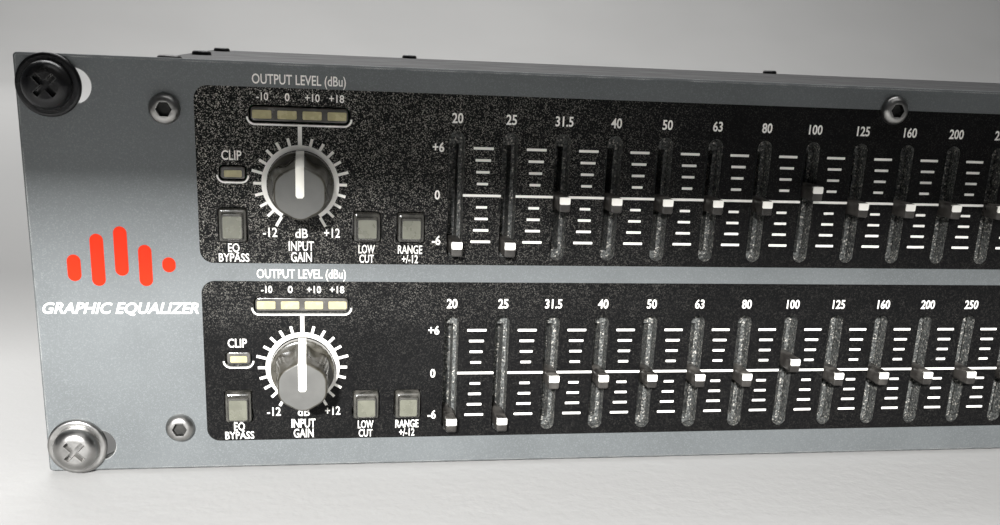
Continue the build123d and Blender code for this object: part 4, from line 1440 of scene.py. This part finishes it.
class EQ_OT_stage(bpy.types.Operator):
    """Set up a pale floor with a curved backdrop, the lights and the camera"""

    bl_idname = "eq.stage"
    bl_label = "Stage"

    CAMERA_PLACE = (-0.18429, -0.32310, 0.09389)
    CAMERA_TURN = (72.659, -2.48, -9.728)
    CAMERA_SHIFT = 0.1125
    SENSOR = 36
    SKY = (0.8, 0.84, 0.9, 1)
    SKY_STRENGTH = 0.09

    # The floor runs from in front of the object to a round bend, then up; it lies just under it.
    FLOOR_REACH = 4.0
    BEND_START = 1.6
    BEND_RADIUS = 1.2
    BEND_STEPS = 16
    FLOOR_DROP = 0.5 * MM

    # The black card: its place in front of the panel, its lower and upper edge, its half width.
    CARD_AWAY = 0.235
    CARD_LOW = 0.139
    CARD_HIGH = 0.40
    CARD_HALF = 0.8

    def execute(self, context):
        look = context.scene.eq_stage
        self.backdrop(look.floor)
        aim = Vector((KNOBS[0].x, FACE, ZEROS[1]))
        fill = look.fill_power
        self.area("key", aim + Vector((-0.13, -0.62, 0.26)), aim, 0.045, look.key_power, 100)
        self.area("fill", Vector((0.35, -1.0, 1.7)), Vector((0, -0.1, 0.05)), 1.4, fill)
        self.area("rim", Vector((-0.6, 1.3, 1.4)), Vector((0, 0, 0.05)), 1.2, fill)
        self.area("backdrop_lamp", Vector((0, 1.2, 1.8)), Vector((0, 1.6, 0)), 1.5, fill * 5)
        self.card()
        world = bpy.data.worlds.new("studio")
        context.scene.world = world
        world.use_nodes = True
        sky = world.node_tree.nodes["Background"].inputs
        sky["Color"].default_value = self.SKY
        sky["Strength"].default_value = self.SKY_STRENGTH
        context.scene.view_settings.view_transform = "Standard"
        lens = bpy.data.cameras.new("camera")
        lens.sensor_width = self.SENSOR
        lens.lens = look.lens
        lens.shift_y = self.CAMERA_SHIFT
        lens.clip_start = 0.01
        camera = bpy.data.objects.new("camera", lens)
        camera.location = self.CAMERA_PLACE
        camera.rotation_euler = Euler([radians(turn) for turn in self.CAMERA_TURN])
        context.scene.collection.objects.link(camera)
        context.scene.camera = camera
        return {"FINISHED"}

    def staged(self, name, mesh, material):
        """Makes a thing of the stage, which isn't a part of the object."""
        data = bpy.data.meshes.new(name)
        mesh.to_mesh(data)
        mesh.free()
        data.shade_smooth()
        data.materials.append(material)
        made = bpy.data.objects.new(name, data)
        bpy.context.scene.collection.objects.link(made)
        return made

    def backdrop(self, tint):
        """A floor that sweeps up into a wall far behind the object."""
        mesh = bmesh.new()
        profile = [(-self.FLOOR_REACH, 0.0), (self.BEND_START, 0.0)]
        for step in range(1, self.BEND_STEPS + 1):
            angle = radians(90 * step / self.BEND_STEPS)
            along = self.BEND_START + self.BEND_RADIUS * sin(angle)
            profile.append((along, self.BEND_RADIUS - self.BEND_RADIUS * cos(angle)))
        profile.append((self.BEND_START + self.BEND_RADIUS, self.FLOOR_REACH))
        ends = (-self.FLOOR_REACH, self.FLOOR_REACH)
        rows = [[mesh.verts.new((x, y, z - self.FLOOR_DROP)) for x in ends] for y, z in profile]
        for near, far in zip(rows, rows[1:]):
            mesh.faces.new((near[0], near[1], far[1], far[0]))
        paint = finish(
            "backdrop_paint", tint, 0.8, contrast=0.03, mottle_size=0.3, grain_size=0.004,
            grain_depth=0.0001,
        )
        self.staged("backdrop", mesh, paint)

    def card(self):
        """A black card, unseen by the camera, that softly shades the panel's upper part."""
        mesh = bmesh.new()
        y = FACE - self.CARD_AWAY
        left, right = -self.CARD_HALF, self.CARD_HALF
        low, high = self.CARD_LOW, self.CARD_HIGH
        outline = ((left, y, low), (right, y, low), (right, y, high), (left, y, high))
        mesh.faces.new([mesh.verts.new(corner) for corner in outline])
        black = finish(
            "card_black", (0.02, 0.02, 0.02), 0.8, mottle_size=0.1, grain_size=0.002,
            grain_depth=0.0001,
        )
        self.staged("card", mesh, black).visible_camera = False

    def area(self, name, place, aim, size, power, cone=180):
        """A square lamp, turned towards its aim; cone is the whole angle of its beam."""
        lamp = bpy.data.lights.new(name, "AREA")
        lamp.size = size
        lamp.spread = radians(cone)
        lamp.energy = power
        holder = bpy.data.objects.new(name, lamp)
        holder.location = place
        holder.rotation_euler = (aim - place).to_track_quat("-Z", "Y").to_euler()
        bpy.context.scene.collection.objects.link(holder)


class EQ_PT_panel(bpy.types.Panel):
    """Sizes, colours and steps of the equalizer"""

    bl_idname = "EQ_PT_panel"
    bl_label = "Equalizer"
    bl_space_type = "VIEW_3D"
    bl_region_type = "UI"
    bl_category = "Equalizer"

    def draw(self, context):
        for group in (context.scene.eq_panel, context.scene.eq_controls, context.scene.eq_stage):
            box = self.layout.box()
            for name in group.__annotations__:
                box.prop(group, name)
        for step in STEPS:
            self.layout.operator(step.bl_idname)


STEPS = (
    EQ_OT_front_panel,
    EQ_OT_panel_print,
    EQ_OT_emblem,
    EQ_OT_faders,
    EQ_OT_gain_knobs,
    EQ_OT_push_buttons,
    EQ_OT_lights,
    EQ_OT_fasteners,
    EQ_OT_chassis,
    EQ_OT_rear_sockets,
    EQ_OT_rear_print,
    EQ_OT_electronics,
    EQ_OT_stage,
)
SETTINGS = {"eq_panel": PanelSettings, "eq_controls": ControlSettings, "eq_stage": StageSettings}


def register():
    for group in SETTINGS.values():
        bpy.utils.register_class(group)
    for step in STEPS:
        bpy.utils.register_class(step)
    bpy.utils.register_class(EQ_PT_panel)
    for name, group in SETTINGS.items():
        setattr(bpy.types.Scene, name, PointerProperty(type=group))


def unregister():
    for name in SETTINGS:
        delattr(bpy.types.Scene, name)
    bpy.utils.unregister_class(EQ_PT_panel)
    for step in reversed(STEPS):
        bpy.utils.unregister_class(step)
    for group in SETTINGS.values():
        bpy.utils.unregister_class(group)


def main():
    register()
    build_effects()
    for step in STEPS:
        name = step.bl_idname.split(".")[1]
        getattr(bpy.ops.eq, name)()


if __name__ == "__main__":
    main()
